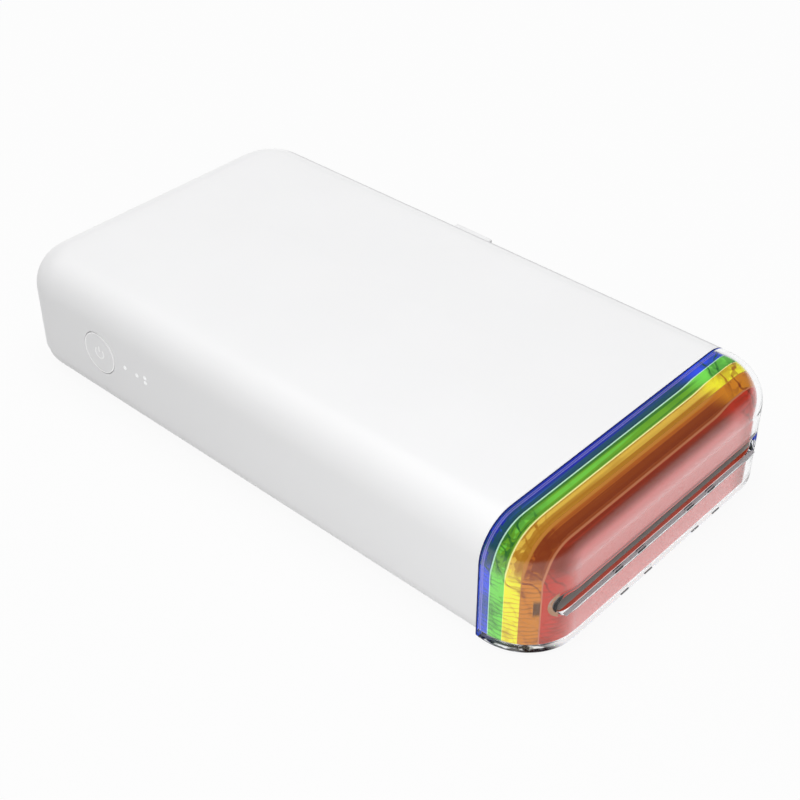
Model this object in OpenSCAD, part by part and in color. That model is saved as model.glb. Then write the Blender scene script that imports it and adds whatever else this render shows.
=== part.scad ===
// Compact pocket photo printer with a side-loading ribbon and paper cartridge.
// Millimetres. X runs along the printer with the paper slot at +X, Y runs across it with the
// power button on the -Y side and the cartridge door on the +Y side, and Z is up.
// The origin is on the table, under the middle of the body.

/* [Body] */
// Length of the whole printer, from the rear end to the front of the clear cap
body_l = 150; // [149:0.5:160]
// Width of the body
body_w = 80; // [79:0.5:88]
// Height from the table to the top
body_h = 27; // [27:0.25:32]
// Radius of the four upright corners
corner_r = 12; // [11:0.25:12.5]
// Radius of the rolled top edge
top_r = 8.4; // [7:0.2:9]
// Radius of the rolled lower edge
base_r = 3.6; // [2:0.2:3.8]
// Wall of the upper shell and of the bottom case
wall = 1.8; // [1.6:0.1:2]
// Height of the parting line between the upper shell and the bottom case
parting_z = 4.3; // [4.2:0.1:4.4]
// How far the bottom case stands inside the upper shell at the parting line
case_inset = 0.35; // [0.1:0.05:0.5]
// Floor thickness of the bottom case
floor_t = 1.5; // [1.2:0.1:1.6]

/* [Front cap and coloured plates] */
// Length of the clear cap
cap_l = 13.9; // [13.5:0.1:14.2]
// Wall of the clear cap
cap_wall = 1.5; // [1.3:0.1:1.7]
// Radius of the lower edge of the clear cap
cap_base_r = 1; // [0.5:0.1:1.5]
// Thickness of the blue plate
blue_t = 2.1; // [1.8:0.1:2.3]
// Thickness of the green, yellow and orange plates
plate_t = 2.7; // [2.5:0.05:2.75]
// Thickness of the white wall behind the coloured plates
bulkhead_t = 1.5; // [1.2:0.1:1.6]
// Gap between the coloured plates and the cap
plate_gap = 0.1; // [0.05:0.05:0.2]

/* [Paper slot] */
// Width of the paper slot
slot_w = 66; // [64:0.5:66.5]
// Height of the paper slot
slot_h = 4.6; // [4.4:0.05:4.8]
// Height of the paper path above the table
paper_z = 11; // [10.9:0.05:11.1]
// Wall of the dark liner in the slot
liner_t = 0.7; // [0.5:0.1:0.8]
// Height of the low ribs on the sill of the slot
rib_h = 0.3; // [0.2:0.05:0.35]

/* [Power button and lights] */
// Diameter of the power button
button_d = 9.8; // [9:0.1:10.5]
// Distance from the rear end to the middle of the power button
button_from_rear = 29; // [28:0.5:30]
// Height of the power button above the table
button_z = 13; // [12:0.25:13.5]
// Travel of the power button
button_travel = 0.4; // [0.3:0.05:0.4]
// Gap round the power button
button_gap = 0.2; // [0.1:0.05:0.3]
// Radius of one status light
light_r = 0.45; // [0.35:0.05:0.5]

/* [Cartridge door] */
// Length of the cartridge door
door_l = 109; // [109:0.1:109.5]
// Height of the top edge of the door
door_top_z = 22.3; // [22.2:0.1:22.5]
// Gap at the ends of the door
door_gap = 0.25; // [0.15:0.05:0.3]
// Radius of the hinge barrel along the lower edge of the door
barrel_r = 1.2; // [1.1:0.05:1.25]
// Radius of the steel hinge pins
hinge_pin_r = 0.5; // [0.4:0.05:0.55]
// Length of the pull tab
tab_l = 11; // [8:0.5:14]
// How far the pull tab stands out of the body
tab_out = 2; // [1.5:0.1:2.5]
// Thickness of the pull tab
tab_t = 1.4; // [1:0.1:1.6]

/* [Paper and ribbon cartridge] */
// Length of one sheet of photo paper
sheet_l = 86; // [85:0.25:86]
// Width of one sheet of photo paper
sheet_w = 54; // [50:0.5:54]
// Height of the stack of sheets
stack_h = 2.4; // [1.5:0.1:2.4]
// Height of the underside of the cartridge above the table
cartridge_z = 7; // [6.95:0.05:7]
// Wall of the cartridge
cartridge_wall = 0.7; // [0.6:0.05:0.75]
// Radius of the ribbon wound on the supply spool
supply_film_r = 4; // [3:0.1:4.2]
// Radius of the ribbon wound on the take-up spool
take_up_film_r = 3; // [2.6:0.1:3.6]
// Thickness of the ribbon
film_t = 0.12; // [0.08:0.01:0.14]

/* [Rollers and print head] */
// Radius of the rubber platen roller
platen_r = 3.6; // [3.4:0.05:3.6]
// Distance from the front of the white body back to the platen roller
platen_back = 30.6; // [30.5:0.05:30.8]
// Radius of the grip roller
grip_r = 3; // [2.6:0.05:3]
// Radius of the pinch roller
pinch_r = 2.4; // [2:0.1:2.6]
// Radius of the steel roller shafts
shaft_r = 1.5; // [1.2:0.05:1.5]
// Radial clearance of a running shaft
run_gap = 0.05; // [0.03:0.01:0.08]
// Radius of the rubber pick-up roller
pickup_r = 5.2; // [5:0.05:5.3]
// How far the rubber sleeves of the long rollers reach past each edge of a sheet
sleeve_over = 1; // [0:0.25:1.5]
// Radius of the shaft the print head swings on
head_shaft_r = 1.2; // [1:0.05:1.25]

/* [Gears] */
// Gear module
gear_m = 0.5; // [0.5:0.005:0.505]
// Face width of the gears
gear_w = 1.6; // [1.4:0.05:1.7]
// Teeth of the platen gear
platen_teeth = 18; // [18:1:18]
// Teeth of the grip roller gear
grip_teeth = 15; // [15:1:15]
// Teeth of the two plain idlers and of the large wheel of the ribbon idler
idler_teeth = 22; // [22:1:22]
// Teeth of the pick-up roller gear
pickup_teeth = 24; // [24:1:24]
// Teeth of the motor pinion, of the take-up gear and of the small wheel of the reduction gear
pinion_teeth = 12; // [12:1:12]
// Teeth of the large wheel of the reduction gear
reduction_teeth = 36; // [36:1:36]
// Teeth of the small wheel of the ribbon idler
ribbon_teeth = 18; // [18:1:18]
// Play between two meshing teeth
backlash = 0.12; // [0.08:0.01:0.16]
// Radius of the fixed axles of the idlers
axle_r = 0.8; // [0.6:0.05:0.9]

/* [Chassis and electronics] */
// Thickness of the chassis side plates
side_t = 1.2; // [1:0.05:1.3]
// Thickness of the chassis deck
deck_t = 0.8; // [0.6:0.1:0.9]
// Radius of the drive motor
motor_r = 6; // [5:0.1:6]
// Length of the drive motor
motor_l = 20; // [16:0.5:24]
// Width of the battery pack
battery_w = 50; // [40:1:52]
// Thickness of the battery pack
battery_t = 6; // [4:0.25:6.5]
// Thickness of the circuit boards
board_t = 1; // [0.8:0.1:1.2]

/* [Feet and screws] */
// Radius of a rubber foot
foot_r = 3.5; // [2.5:0.25:4]
// How far the feet stand out of the bottom case
foot_out = 0.25; // [0.2:0.05:0.3]
// Radius of the shank of a case screw
screw_r = 0.8; // [0.7:0.05:0.9]

/* [Hidden] */
$fn = 72;

// ---- Main planes ----
front_x = body_l / 2;
rear_x = -body_l / 2;
joint_x = front_x - cap_l;
side_y = body_w / 2;
inner_y = side_y - wall;
case_z = foot_out;
floor_z = case_z + floor_t;
fillet_y = side_y - top_r;
fillet_z = body_h - top_r;
touch = 0.01;

// ---- Gear train, as [x, z] positions ----
function pitch_r(teeth) = gear_m * teeth / 2;
function reach(a, b) = pitch_r(a) + pitch_r(b);
function step(from, distance, angle) = from + distance * [cos(angle), sin(angle)];
function level_step(from, distance, z, side) =
  [from[0] + side * sqrt(distance * distance - pow(z - from[1], 2)), z];
function heading(from, to) = atan2(to[1] - from[1], to[0] - from[0]);
// Where a circle round a meets a circle round b, on the left of the way from a to b
function meet(a, ra, b, rb) =
  let (gap = norm(b - a), along = (ra * ra - rb * rb + gap * gap) / (2 * gap))
  let (across = sqrt(ra * ra - along * along), u = (b - a) / gap)
  a + along * u + across * [-u[1], u[0]];
// Phase of the second gear of a pair that meshes, from the phase of the first
function mesh_phase(from, to, teeth_a, phase_a, teeth_b) =
  let (line = heading(from, to))
  line + 180 - (phase_a - line) * teeth_a / teeth_b + 180 / teeth_b;

pickup_back = 30.5;
platen_at = [joint_x - platen_back, paper_z - platen_r];
ribbon_idler_at = step(platen_at, reach(platen_teeth, idler_teeth), 7.5);
grip_at = level_step(ribbon_idler_at, reach(idler_teeth, grip_teeth), paper_z - grip_r, 1);
take_up_at = step(ribbon_idler_at, reach(ribbon_teeth, pinion_teeth), 90);
second_idler_at = step(platen_at, reach(platen_teeth, idler_teeth), 170);
pickup_at = [platen_at[0] - pickup_back, paper_z + 5];
first_idler_at = meet(pickup_at, reach(pickup_teeth, idler_teeth),
                      second_idler_at, 2 * pitch_r(idler_teeth));
reduction_at = level_step(pickup_at, reach(pinion_teeth, pickup_teeth), pickup_at[1] - 2.5, -1);
motor_at = level_step(reduction_at, reach(reduction_teeth, pinion_teeth), pickup_at[1] + 2, -1);

platen_phase = 0;
ribbon_idler_phase =
  mesh_phase(platen_at, ribbon_idler_at, platen_teeth, platen_phase, idler_teeth);
grip_phase = mesh_phase(ribbon_idler_at, grip_at, idler_teeth, ribbon_idler_phase, grip_teeth);
take_up_phase = mesh_phase(ribbon_idler_at, take_up_at, ribbon_teeth, 0, pinion_teeth);
second_idler_phase =
  mesh_phase(platen_at, second_idler_at, platen_teeth, platen_phase, idler_teeth);
first_idler_phase =
  mesh_phase(second_idler_at, first_idler_at, idler_teeth, second_idler_phase, idler_teeth);
pickup_phase =
  mesh_phase(first_idler_at, pickup_at, idler_teeth, first_idler_phase, pickup_teeth);
reduction_phase =
  mesh_phase(pickup_at, reduction_at, pickup_teeth, pickup_phase, pinion_teeth);
motor_phase = mesh_phase(reduction_at, motor_at, reduction_teeth, 0, pinion_teeth);

// ---- Side plates and gear planes across the printer ----
left_plate_y = -side_y + 8.4;
right_plate_y = side_y - 4.2 - side_t;
gear_a_y = left_plate_y - 0.5 - gear_w;
gear_b_y = gear_a_y - 0.3 - gear_w;
left_inner_y = left_plate_y + side_t;
rear_bay = 13.6;
plate_x0 = rear_x + rear_bay;
plate_x1 = grip_at[0] + 4.2;
plate_top_z = body_h - 3.6;

// ---- Paper, tray and cartridge ----
stack_top_z = paper_z - 0.5;
stack_z = stack_top_z - stack_h;
tray_x1 = platen_at[0] - platen_r - 0.4;
sheet_x1 = tray_x1 - cartridge_wall - 0.3;
sheet_x0 = sheet_x1 - sheet_l;
tray_x0 = sheet_x0 - 0.3 - cartridge_wall;
tray_top_z = stack_top_z + 0.3 + cartridge_wall;
cartridge_y0 = left_inner_y + 0.4;
cartridge_y1 = side_y - 3.7;
cheek_t = 1.2;
supply_shell_r = supply_film_r + 0.7 + cartridge_wall;
take_up_shell_r = take_up_film_r + 1.5 + cartridge_wall;
supply_at = [platen_at[0] - 15, stack_top_z + 0.4 + supply_shell_r];
cartridge_top_z = max(supply_at[1] + supply_shell_r, take_up_at[1] + take_up_shell_r);
journal_r = 1.9;
film_z = paper_z + 0.25;
guide_r = 0.5;
rear_guide_at = [platen_at[0] - 5.3, film_z + film_t + guide_r];
front_guide_at = [take_up_at[0] - 5, film_z + film_t + guide_r];

sleeve_y = sheet_w / 2 + sleeve_over;

// ---- Print head ----
head_shaft_at = [platen_at[0] - 6.6, paper_z + 7.2];
head_x0 = platen_at[0] - 4;
head_x1 = platen_at[0] + 3.4;
head_z = film_z + film_t + 0.15;
head_base_t = 1.1;
sink_h = 4.8;
bracket_t = 1;
bracket_z = head_z + head_base_t + sink_h;

// ---- Door ----
door_x1 = take_up_at[0] + take_up_shell_r + 0.9;
door_x0 = door_x1 - door_l;
hinge_at = [side_y - barrel_r, parting_z + 0.15 + barrel_r];
window_top_z = door_top_z + 0.3;
door_skin_y = fillet_y + sqrt(max(0, pow(top_r - wall, 2) - pow(door_top_z - fillet_z, 2)));
tab_x = rear_x + 65;
tab_z = door_top_z - 2.3;
pin_grip = 2.6;
pin_reach = 4;

// ---- Button ----
button_x = rear_x + button_from_rear;
switch_y = -inner_y + 4;
board_y = gear_b_y + gear_w - 0.2;

// ---- Slot, plates and liner ----
inner_rib_y = 0.15 * sheet_w;
outer_rib_y = 0.285 * sheet_w;
red_x0 = joint_x + blue_t + 3 * plate_t;
guide_x0 = grip_at[0] + grip_r + 1.4;
liner_x0 = joint_x - bulkhead_t - 1;
liner_x1 = front_x - cap_wall - plate_gap - 0.5;

// ---- Fastening points, as [x, y] ----
screw_points = [for (x = [rear_x + 8, joint_x - 4.8]) for (y = [-1, 1])
  [x, y * (x < 0 ? side_y - 10 : side_y - 5.5)]];
foot_points = [for (x = [rear_x + 18, joint_x - 10]) for (y = [-1, 1]) [x, y * (side_y - 10)]];
boss_z = 6;
foot_seat = 0.6;

// ---- Shapes shared by several pieces ----

// Half of an upright section, from the middle to the side, with rolled top and bottom edges
module half_section(reach_y, z0, z1, top, base) {
  intersection() {
    union() {
      translate([0, z0 + base]) square([reach_y, z1 - top - z0 - base]);
      translate([0, z0]) square([reach_y - base, base + touch]);
      translate([reach_y - base, z0 + base]) circle(base);
      translate([0, z1 - top - touch]) square([reach_y - top, top + touch]);
      translate([reach_y - top, z1 - top]) circle(top);
    }
    translate([0, z0]) square([reach_y, z1 - z0]);
  }
}

module whole_section(reach_y, z0, z1, top, base) {
  half_section(reach_y, z0, z1, top, base);
  mirror([1, 0]) half_section(reach_y, z0, z1, top, base);
}

// A block with round upright corners and rolled edges, from x0 to x1
module rolled_block(x0, x1, half_w, z0, z1, corner, top, base) {
  run = x1 - x0 - 2 * corner;
  translate([x0 + corner, 0, 0]) rotate([90, 0, 90]) linear_extrude(run)
    whole_section(half_w, z0, z1, top, base);
  for (end = [[x0 + corner, 180], [x1 - corner, 0]]) {
    translate([end[0], 0, 0]) rotate([0, 0, end[1]]) {
      translate([0, half_w - corner, 0]) rotate([90, 0, 0]) linear_extrude(2 * (half_w - corner))
        half_section(corner, z0, z1, top, base);
      for (side = [0, 1]) mirror([0, side, 0]) translate([0, half_w - corner, 0])
        rotate_extrude(angle = 90) half_section(corner, z0, z1, top, base);
    }
  }
}

// The outside of the body, drawn in by inset on every side
module body_block(inset, base = base_r) {
  rolled_block(rear_x + inset, front_x - inset, side_y - inset, case_z + inset, body_h - inset,
               corner_r - inset, top_r - inset, max(base - inset, 0.4));
}

// Everything between two X planes
module between_x(x0, x1) {
  translate([x0, -body_w, -1]) cube([x1 - x0, 2 * body_w, body_h + 2]);
}

module between_z(z0, z1) {
  translate([-body_l, -body_w, z0]) cube([2 * body_l, 2 * body_w, z1 - z0]);
}

// Draws a shape given as [x, z] across the printer, from y0 to y1
module across(y0, y1) {
  translate([0, y1, 0]) rotate([90, 0, 0]) linear_extrude(y1 - y0) children();
}

// A round bar across the printer, centred on an [x, z] point
module bar(at, r, y0, y1) {
  translate([at[0], y1, at[1]]) rotate([90, 0, 0]) cylinder(h = y1 - y0, r = r);
}

// The outline of the paper slot in a front view, widened by grow
module slot_outline(grow) {
  half = slot_w / 2 - slot_h / 2;
  for (side = [-1, 1]) translate([side * half, paper_z]) circle(slot_h / 2 + grow);
  translate([-half, paper_z - slot_h / 2 - grow]) square([2 * half, slot_h + 2 * grow]);
}

module slot_block(x0, x1, grow) {
  translate([x0, 0, 0]) rotate([90, 0, 90]) linear_extrude(x1 - x0) slot_outline(grow);
}

// ---- Housing ----

module upper_shell() {
  color("white") difference() {
    union() {
      difference() {
        intersection() {
          body_block(0);
          between_x(rear_x - 1, joint_x);
          between_z(parting_z, body_h + 1);
        }
        intersection() {
          body_block(wall);
          between_x(rear_x, joint_x - bulkhead_t);
        }
      }
      intersection() {
        body_block(wall / 2);
        between_z(parting_z, body_h);
        union() {
          for (p = screw_points) translate([p[0], p[1], boss_z])
            cylinder(h = body_h - boss_z, r = 2.2);
          hinge_jambs();
        }
      }
    }
    slot_block(joint_x - bulkhead_t - 1, joint_x + 1, liner_t + 0.1);
    door_window();
    for (end = [-1, 1]) hinge_bore(end, hinge_pin_r + 0.02);
    bar([button_x, button_z], button_d / 2 + button_gap, -side_y - 1, -inner_y + 1);
    for (p = light_points()) bar(p, light_r + 0.05, -side_y - 1, -inner_y + 1);
    for (p = screw_points) translate([p[0], p[1], boss_z - 1])
      cylinder(h = 9, r = screw_r + 0.02);
    usb_window();
  }
}

// The hole in the side wall that the cartridge passes through
module door_window() {
  y0 = door_skin_y - door_gap;
  translate([door_x0 - door_gap, y0, parting_z - 1])
    cube([door_l + 2 * door_gap, side_y + 1 - y0, window_top_z - parting_z + 1]);
}

// Blocks at both ends of the window that hold the hinge pins
module hinge_jambs() {
  for (x = [door_x0 - door_gap - 3.6, door_x1 + door_gap])
    translate([x, side_y - 4, parting_z]) cube([3.6, 3.6, 3.4]);
}

module hinge_bore(end, r) {
  x = end < 0 ? door_x0 - door_gap - pin_grip : door_x1 + door_gap;
  translate([x, hinge_at[0], hinge_at[1]]) rotate([0, 90, 0]) cylinder(h = pin_grip, r = r);
}

module bottom_case() {
  color("whitesmoke") difference() {
    union() {
      intersection() {
        difference() {
          rolled_block(rear_x + case_inset, front_x - case_inset, side_y - case_inset, case_z,
                       body_h - case_inset, corner_r - case_inset, top_r - case_inset,
                       base_r - case_inset);
          intersection() {
            rolled_block(rear_x + wall, front_x - wall, inner_y, floor_z, body_h - wall,
                         corner_r - wall, top_r - wall, base_r - wall);
            between_x(rear_x, joint_x - bulkhead_t);
          }
        }
        between_x(rear_x - 1, joint_x);
        between_z(0, parting_z);
      }
      for (p = screw_points) translate([p[0], p[1], floor_z - touch])
        cylinder(h = boss_z - floor_z + touch, r = 2.2);
      for (y = [-1, 1]) translate([rear_x + 7, y * 11, floor_z - touch])
        cylinder(h = charge_z - floor_z + touch, r = 1.5);
    }
    for (p = foot_points) translate([p[0], p[1], case_z - 1])
      cylinder(h = 1 + foot_seat, r = foot_r);
    for (p = screw_points) {
      translate([p[0], p[1], 0]) cylinder(h = boss_z + 1, r = screw_r + 0.1);
      translate([p[0], p[1], 0]) cylinder(h = screw_seat_z, r = screw_head_r + 0.15);
    }
    translate([door_x0 - door_gap, side_y - wall, parting_z - 0.1])
      cube([door_l + 2 * door_gap, wall, 1]);
  }
}

screw_head_r = 1.6;
screw_seat_z = case_z + 1.9;
charge_z = 6;

module front_cap() {
  color([0.9, 0.95, 1, 0.35]) difference() {
    intersection() {
      body_block(0, cap_base_r);
      between_x(joint_x, front_x + 1);
    }
    intersection() {
      body_block(cap_wall, cap_base_r);
      between_x(joint_x - 1, front_x);
    }
    slot_block(joint_x, front_x + 1, 0);
  }
}

// One coloured plate of the stack inside the clear cap, from x0 to x1
module stacked_plate(x0, x1, slot_grow) {
  difference() {
    intersection() {
      body_block(cap_wall + plate_gap, cap_base_r);
      between_x(x0, x1);
    }
    slot_block(x0 - 1, x1 + 1, slot_grow);
  }
}

liner_fit = liner_t + 0.1;
green_x0 = joint_x + blue_t;
module blue_plate() { color("royalblue") stacked_plate(joint_x, green_x0, liner_fit); }
module green_plate() {
  color("limegreen") stacked_plate(green_x0, green_x0 + plate_t, liner_fit);
}
module yellow_plate() {
  color("gold") stacked_plate(green_x0 + plate_t, green_x0 + 2 * plate_t, liner_fit);
}
module orange_plate() {
  color("darkorange") stacked_plate(green_x0 + 2 * plate_t, red_x0, liner_fit);
}
module red_plate() {
  color("crimson") difference() {
    stacked_plate(red_x0, front_x, 0);
    slot_block(red_x0 - 1, liner_x1 + 0.05, liner_fit);
  }
}

// Dark tube that lines the slot and ends just behind the face of the red plate
module slot_liner() {
  color("dimgray") {
    intersection() {
      difference() {
        slot_block(liner_x0, liner_x1, liner_t);
        slot_block(liner_x0 - 1, liner_x1 + 1, 0);
      }
      body_block(cap_wall + plate_gap, cap_base_r);
    }
    slot_ribs();
  }
}

// Four low ribs that carry the sheet along the liner and over the sill of the cap
module slot_ribs() {
  rib_w = 0.8;
  root = 0.2;
  sill_z = paper_z - slot_h / 2;
  for (y = [-outer_rib_y, -inner_rib_y, inner_rib_y, outer_rib_y])
    translate([0, y - rib_w / 2, sill_z]) {
    translate([liner_x0, 0, -root]) cube([liner_x1 - liner_x0, rib_w, rib_h + root]);
    translate([liner_x1 - touch, 0, 0]) cube([front_x - 0.4 - liner_x1, rib_w, rib_h]);
  }
}

// Two jaws that lead the sheet from the grip roller to the slot
module exit_guide() {
  half = (sheet_w + 5) / 2;
  x1 = liner_x0;
  color("dimgray") {
    difference() {
      translate([guide_x0, -half - 1, paper_z - 3.4])
        cube([x1 - guide_x0, 2 * half + 2, 6.8]);
      translate([guide_x0 - 1, -half, paper_z - slot_h / 2])
        cube([x1 - guide_x0 + 2, 2 * half, slot_h]);
    }
    translate([guide_x0, -half - 1, floor_z]) cube([1.2, 2 * half + 2, paper_z - 3.4 - floor_z]);
  }
}

// ---- Door ----

module door_section() {
  difference() {
    half_section(side_y, case_z, body_h, top_r, base_r);
    half_section(side_y - wall, case_z + wall, body_h - wall, top_r - wall, base_r - wall);
    translate([-1, -1]) square([side_y + 2, hinge_at[1] + 1]);
    translate([-1, door_top_z]) square([side_y + 2, body_h]);
    translate([-1, -1]) square([side_y - 8, body_h + 2]);
  }
  translate(hinge_at) circle(barrel_r);
  translate([hinge_at[0], hinge_at[1]]) square([barrel_r, barrel_r + 1]);
}

module cartridge_door() {
  color("white") difference() {
    union() {
      translate([door_x0, 0, 0]) rotate([90, 0, 90]) linear_extrude(door_l) door_section();
      pull_tab();
      for (x = [door_x0 + 12, door_x0 + door_l / 2, door_x1 - 12])
        translate([x - 0.6, inner_y - 0.9, hinge_at[1] + 3]) cube([1.2, 1.2, fillet_z - hinge_at[1] - 3]);
    }
    translate([door_x0 - 1, hinge_at[0], hinge_at[1]]) rotate([0, 90, 0])
      cylinder(h = pin_reach + 1.5, r = hinge_pin_r + run_gap);
    translate([door_x1 - pin_reach - 0.5, hinge_at[0], hinge_at[1]]) rotate([0, 90, 0])
      cylinder(h = pin_reach + 1.5, r = hinge_pin_r + run_gap);
  }
}

// The finger lip near the top edge of the door, with rounded outer corners
module pull_tab() {
  lip_r = 1;
  y0 = fillet_y + 6.5;
  y1 = side_y + tab_out;
  translate([tab_x, 0, tab_z]) linear_extrude(tab_t) {
    translate([-tab_l / 2, y0]) square([tab_l, y1 - lip_r - y0]);
    translate([lip_r - tab_l / 2, y0]) square([tab_l - 2 * lip_r, y1 - y0]);
    for (side = [-1, 1]) translate([side * (tab_l / 2 - lip_r), y1 - lip_r]) circle(lip_r);
  }
}

module door_hinge_pins() {
  color("silver") for (end = [-1, 1]) {
    x = end < 0 ? door_x0 - door_gap - pin_grip : door_x1 - pin_reach;
    translate([x, hinge_at[0], hinge_at[1]]) rotate([0, 90, 0])
      cylinder(h = pin_grip + door_gap + pin_reach, r = hinge_pin_r);
  }
}

// ---- Power button, lights and their board ----

flange_t = 0.8;
stem_y1 = switch_y - 1.6 - button_travel;

// The round button, with a retaining flange and a stem that presses the switch
module power_button() {
  at = [button_x, button_z];
  color("white") {
    bar(at, button_d / 2, -side_y, -inner_y + 0.1 + touch);
    bar(at, button_d / 2 + 1, -inner_y + 0.1, -inner_y + 0.1 + flange_t);
    bar(at, 1.5, -inner_y + 0.1 + flange_t - touch, stem_y1);
  }
}

function light_points() =
  [for (p = [[8.7, 0.2], [12.6, 0.1], [15.3, 0.75], [15.3, -0.55]]) [button_x, button_z] + p];

// Four light pipes on one bar behind the side wall
module status_lights() {
  color("ghostwhite") {
    for (p = light_points()) bar(p, light_r, -side_y, -inner_y + touch);
    translate([button_x + 7.7, -inner_y, button_z - 1.4]) cube([8.6, 0.8, 2.8]);
  }
}

// The upright board behind the button, with its switch and lamps
module button_board() {
  color("darkgreen") {
    translate([button_x - 12, board_y, floor_z + 3.5]) cube([32, board_t, 14]);
    translate([button_x - 2.2, switch_y - 1.2, button_z - 2.2])
      cube([4.4, board_y - switch_y + 1.2, 4.4]);
    bar([button_x, button_z], 1, switch_y - 1.5, switch_y - 1.2 + touch);
    for (p = light_points()) translate([p[0] - 0.4, board_y - 0.8, p[1] - 0.3])
      cube([0.8, 0.8 + touch, 0.6]);
  }
}

// ---- Chassis ----

module bore_at(at, r) { translate(at) circle(r); }

module left_plate_outline() {
  difference() {
    translate([plate_x0, floor_z]) square([plate_x1 - plate_x0, plate_top_z - 2 - floor_z]);
    plate_bores();
    bore_at(pickup_at, shaft_r + run_gap);
    bore_at(motor_at, motor_boss_r + 0.05);
    bore_at(take_up_at, spindle_r + run_gap);
    for (p = axle_points) bore_at(p, axle_r + 0.02);
    translate([plate_x0 + 4, floor_z + 3]) square([25, 7]);
  }
}

motor_boss_r = 2.4;
spindle_r = 1.1;
bush_r = 2.4;
axle_points = [reduction_at, first_idler_at, second_idler_at, ribbon_idler_at];
pinch_at = [grip_at[0], paper_z + 0.25 + pinch_r];
pinch_shaft_r = 1;

module plate_bores() {
  for (p = [platen_at, grip_at]) bore_at(p, bush_r + 0.02);
  bore_at(pinch_at, pinch_shaft_r + run_gap);
  bore_at(head_shaft_at, head_shaft_r + 0.02);
}

// Outline of the way the cartridge takes through the door-side plate
module cartridge_way(gap) {
  translate([tray_x0 - gap, cartridge_z - gap])
    square([tray_x1 - tray_x0 + gap, tray_top_z - cartridge_z + 2 * gap]);
  translate(supply_at) circle(supply_shell_r + gap);
  translate([supply_at[0], tray_top_z]) square([rear_guide_at[0] + guide_r + 0.3 - supply_at[0], 2.4]);
  translate(take_up_at) circle(take_up_shell_r + gap);
  translate([front_guide_at[0] - guide_r - 0.3, film_z - 0.4])
    square([take_up_at[0] - front_guide_at[0] + guide_r, take_up_at[1] - film_z]);
  translate([supply_at[0], cartridge_top_z - 1 - gap])
    square([take_up_at[0] - supply_at[0], 1 + 2 * gap]);
}

module right_plate_outline() {
  difference() {
    translate([plate_x0, floor_z]) square([plate_x1 - plate_x0, plate_top_z - floor_z]);
    cartridge_way(0.5);
    plate_bores();
  }
}

deck_z = tray_top_z + 0.5;
deck_x1 = motor_at[0] - motor_r - 1.5;
ear_y = 9;

module chassis_frame() {
  y0 = left_inner_y - touch;
  y1 = right_plate_y + touch;
  color("slategray") {
    across(left_plate_y, left_inner_y) left_plate_outline();
    across(right_plate_y, right_plate_y + side_t) right_plate_outline();
    translate([plate_x0, y0, deck_z]) cube([deck_x1 - plate_x0, y1 - y0, deck_t]);
    translate([deck_x1 - touch, ear_y, deck_z])
      cube([pickup_at[0] + 5 - deck_x1, y1 - ear_y, deck_t]);
    across(ear_y, ear_y + 1.4) difference() {
      translate([pickup_at[0] - 5, deck_z]) square([10, pickup_at[1] + 3 - deck_z]);
      bore_at(pickup_at, shaft_r + run_gap);
    }
    translate([plate_x1 - 1.2, y0, floor_z]) cube([1.2, y1 - y0, 1.6]);
    for (p = board_posts) translate([p[0], p[1], deck_z + deck_t - touch])
      cylinder(h = main_board_z - deck_z - deck_t + touch, r = 1.2);
    for (x = [button_x - 9, button_x + 17])
      bar([x, floor_z + 13], 1.2, board_y + board_t, left_plate_y + touch);
  }
}

battery_gap = 2;
chip_t = 0.9;
// The large chips on the main board, as [x, y, length, width]
board_chips = [[plate_x0 + 8, -8, 9, 9], [plate_x0 + 20, 6, 6, 8]];
main_board_z = deck_z + deck_t + battery_t + 1.4;
board_posts = [for (x = [plate_x0 + 2, deck_x1 - 2]) for (y = [left_inner_y + 2.2, right_plate_y - 2.2])
  [x, y]];

// Four fixed axles for the gears, pressed into the left plate
module gear_axles() {
  color("silver") {
    for (p = [first_idler_at, second_idler_at]) bar(p, axle_r, gear_a_y - 0.2, left_inner_y);
    for (p = [reduction_at, ribbon_idler_at]) bar(p, axle_r, gear_b_y - 0.2, left_inner_y);
  }
}

// ---- Gears ----

pressure = 25;
tooth_out = 0.9 * gear_m;
tooth_in = 1.2 * gear_m;

function involute(base_radius, r) =
  r <= base_radius ? 0 : let (a = acos(base_radius / r)) tan(a) * 180 / PI - a;

// Half the angle a tooth fills at radius r
function tooth_half(teeth, r) =
  let (rp = pitch_r(teeth), rb = rp * cos(pressure))
  90 / teeth - backlash * 45 / (PI * rp) + involute(rb, rp) - involute(rb, r);

// One spur gear outline, with a tooth centred on the phase angle
module gear_outline(teeth, phase) {
  rp = pitch_r(teeth);
  radii = [rp - tooth_in, rp - 0.45 * tooth_in, rp, rp + 0.55 * tooth_out, rp + tooth_out];
  polygon([for (i = [0 : teeth - 1]) each concat(
    [for (r = radii) let (a = phase + 360 * i / teeth - tooth_half(teeth, r)) r * [cos(a), sin(a)]],
    [for (k = [len(radii) - 1 : -1 : 0])
      let (a = phase + 360 * i / teeth + tooth_half(teeth, radii[k])) radii[k] * [cos(a), sin(a)]])]);
}

// A spur gear across the printer at an [x, z] point
module gear_at(at, teeth, phase, y0, bore) {
  across(y0, y0 + gear_w) translate(at) difference() {
    gear_outline(teeth, phase);
    circle(bore);
  }
}

// A short collar that spaces a gear from its plate
module collar(at, r, bore, y0, y1) {
  across(y0, y1) translate(at) difference() {
    circle(r);
    circle(bore);
  }
}

module reduction_gear() {
  bore = axle_r + run_gap;
  color("ivory") {
    gear_at(reduction_at, pinion_teeth, reduction_phase, gear_a_y, bore);
    gear_at(reduction_at, reduction_teeth, 0, gear_b_y, bore);
    collar(reduction_at, 2, bore, gear_b_y + gear_w - touch, gear_a_y + touch);
  }
}

module first_idler() {
  color("ivory")
    gear_at(first_idler_at, idler_teeth, first_idler_phase, gear_a_y, axle_r + run_gap);
}

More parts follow.
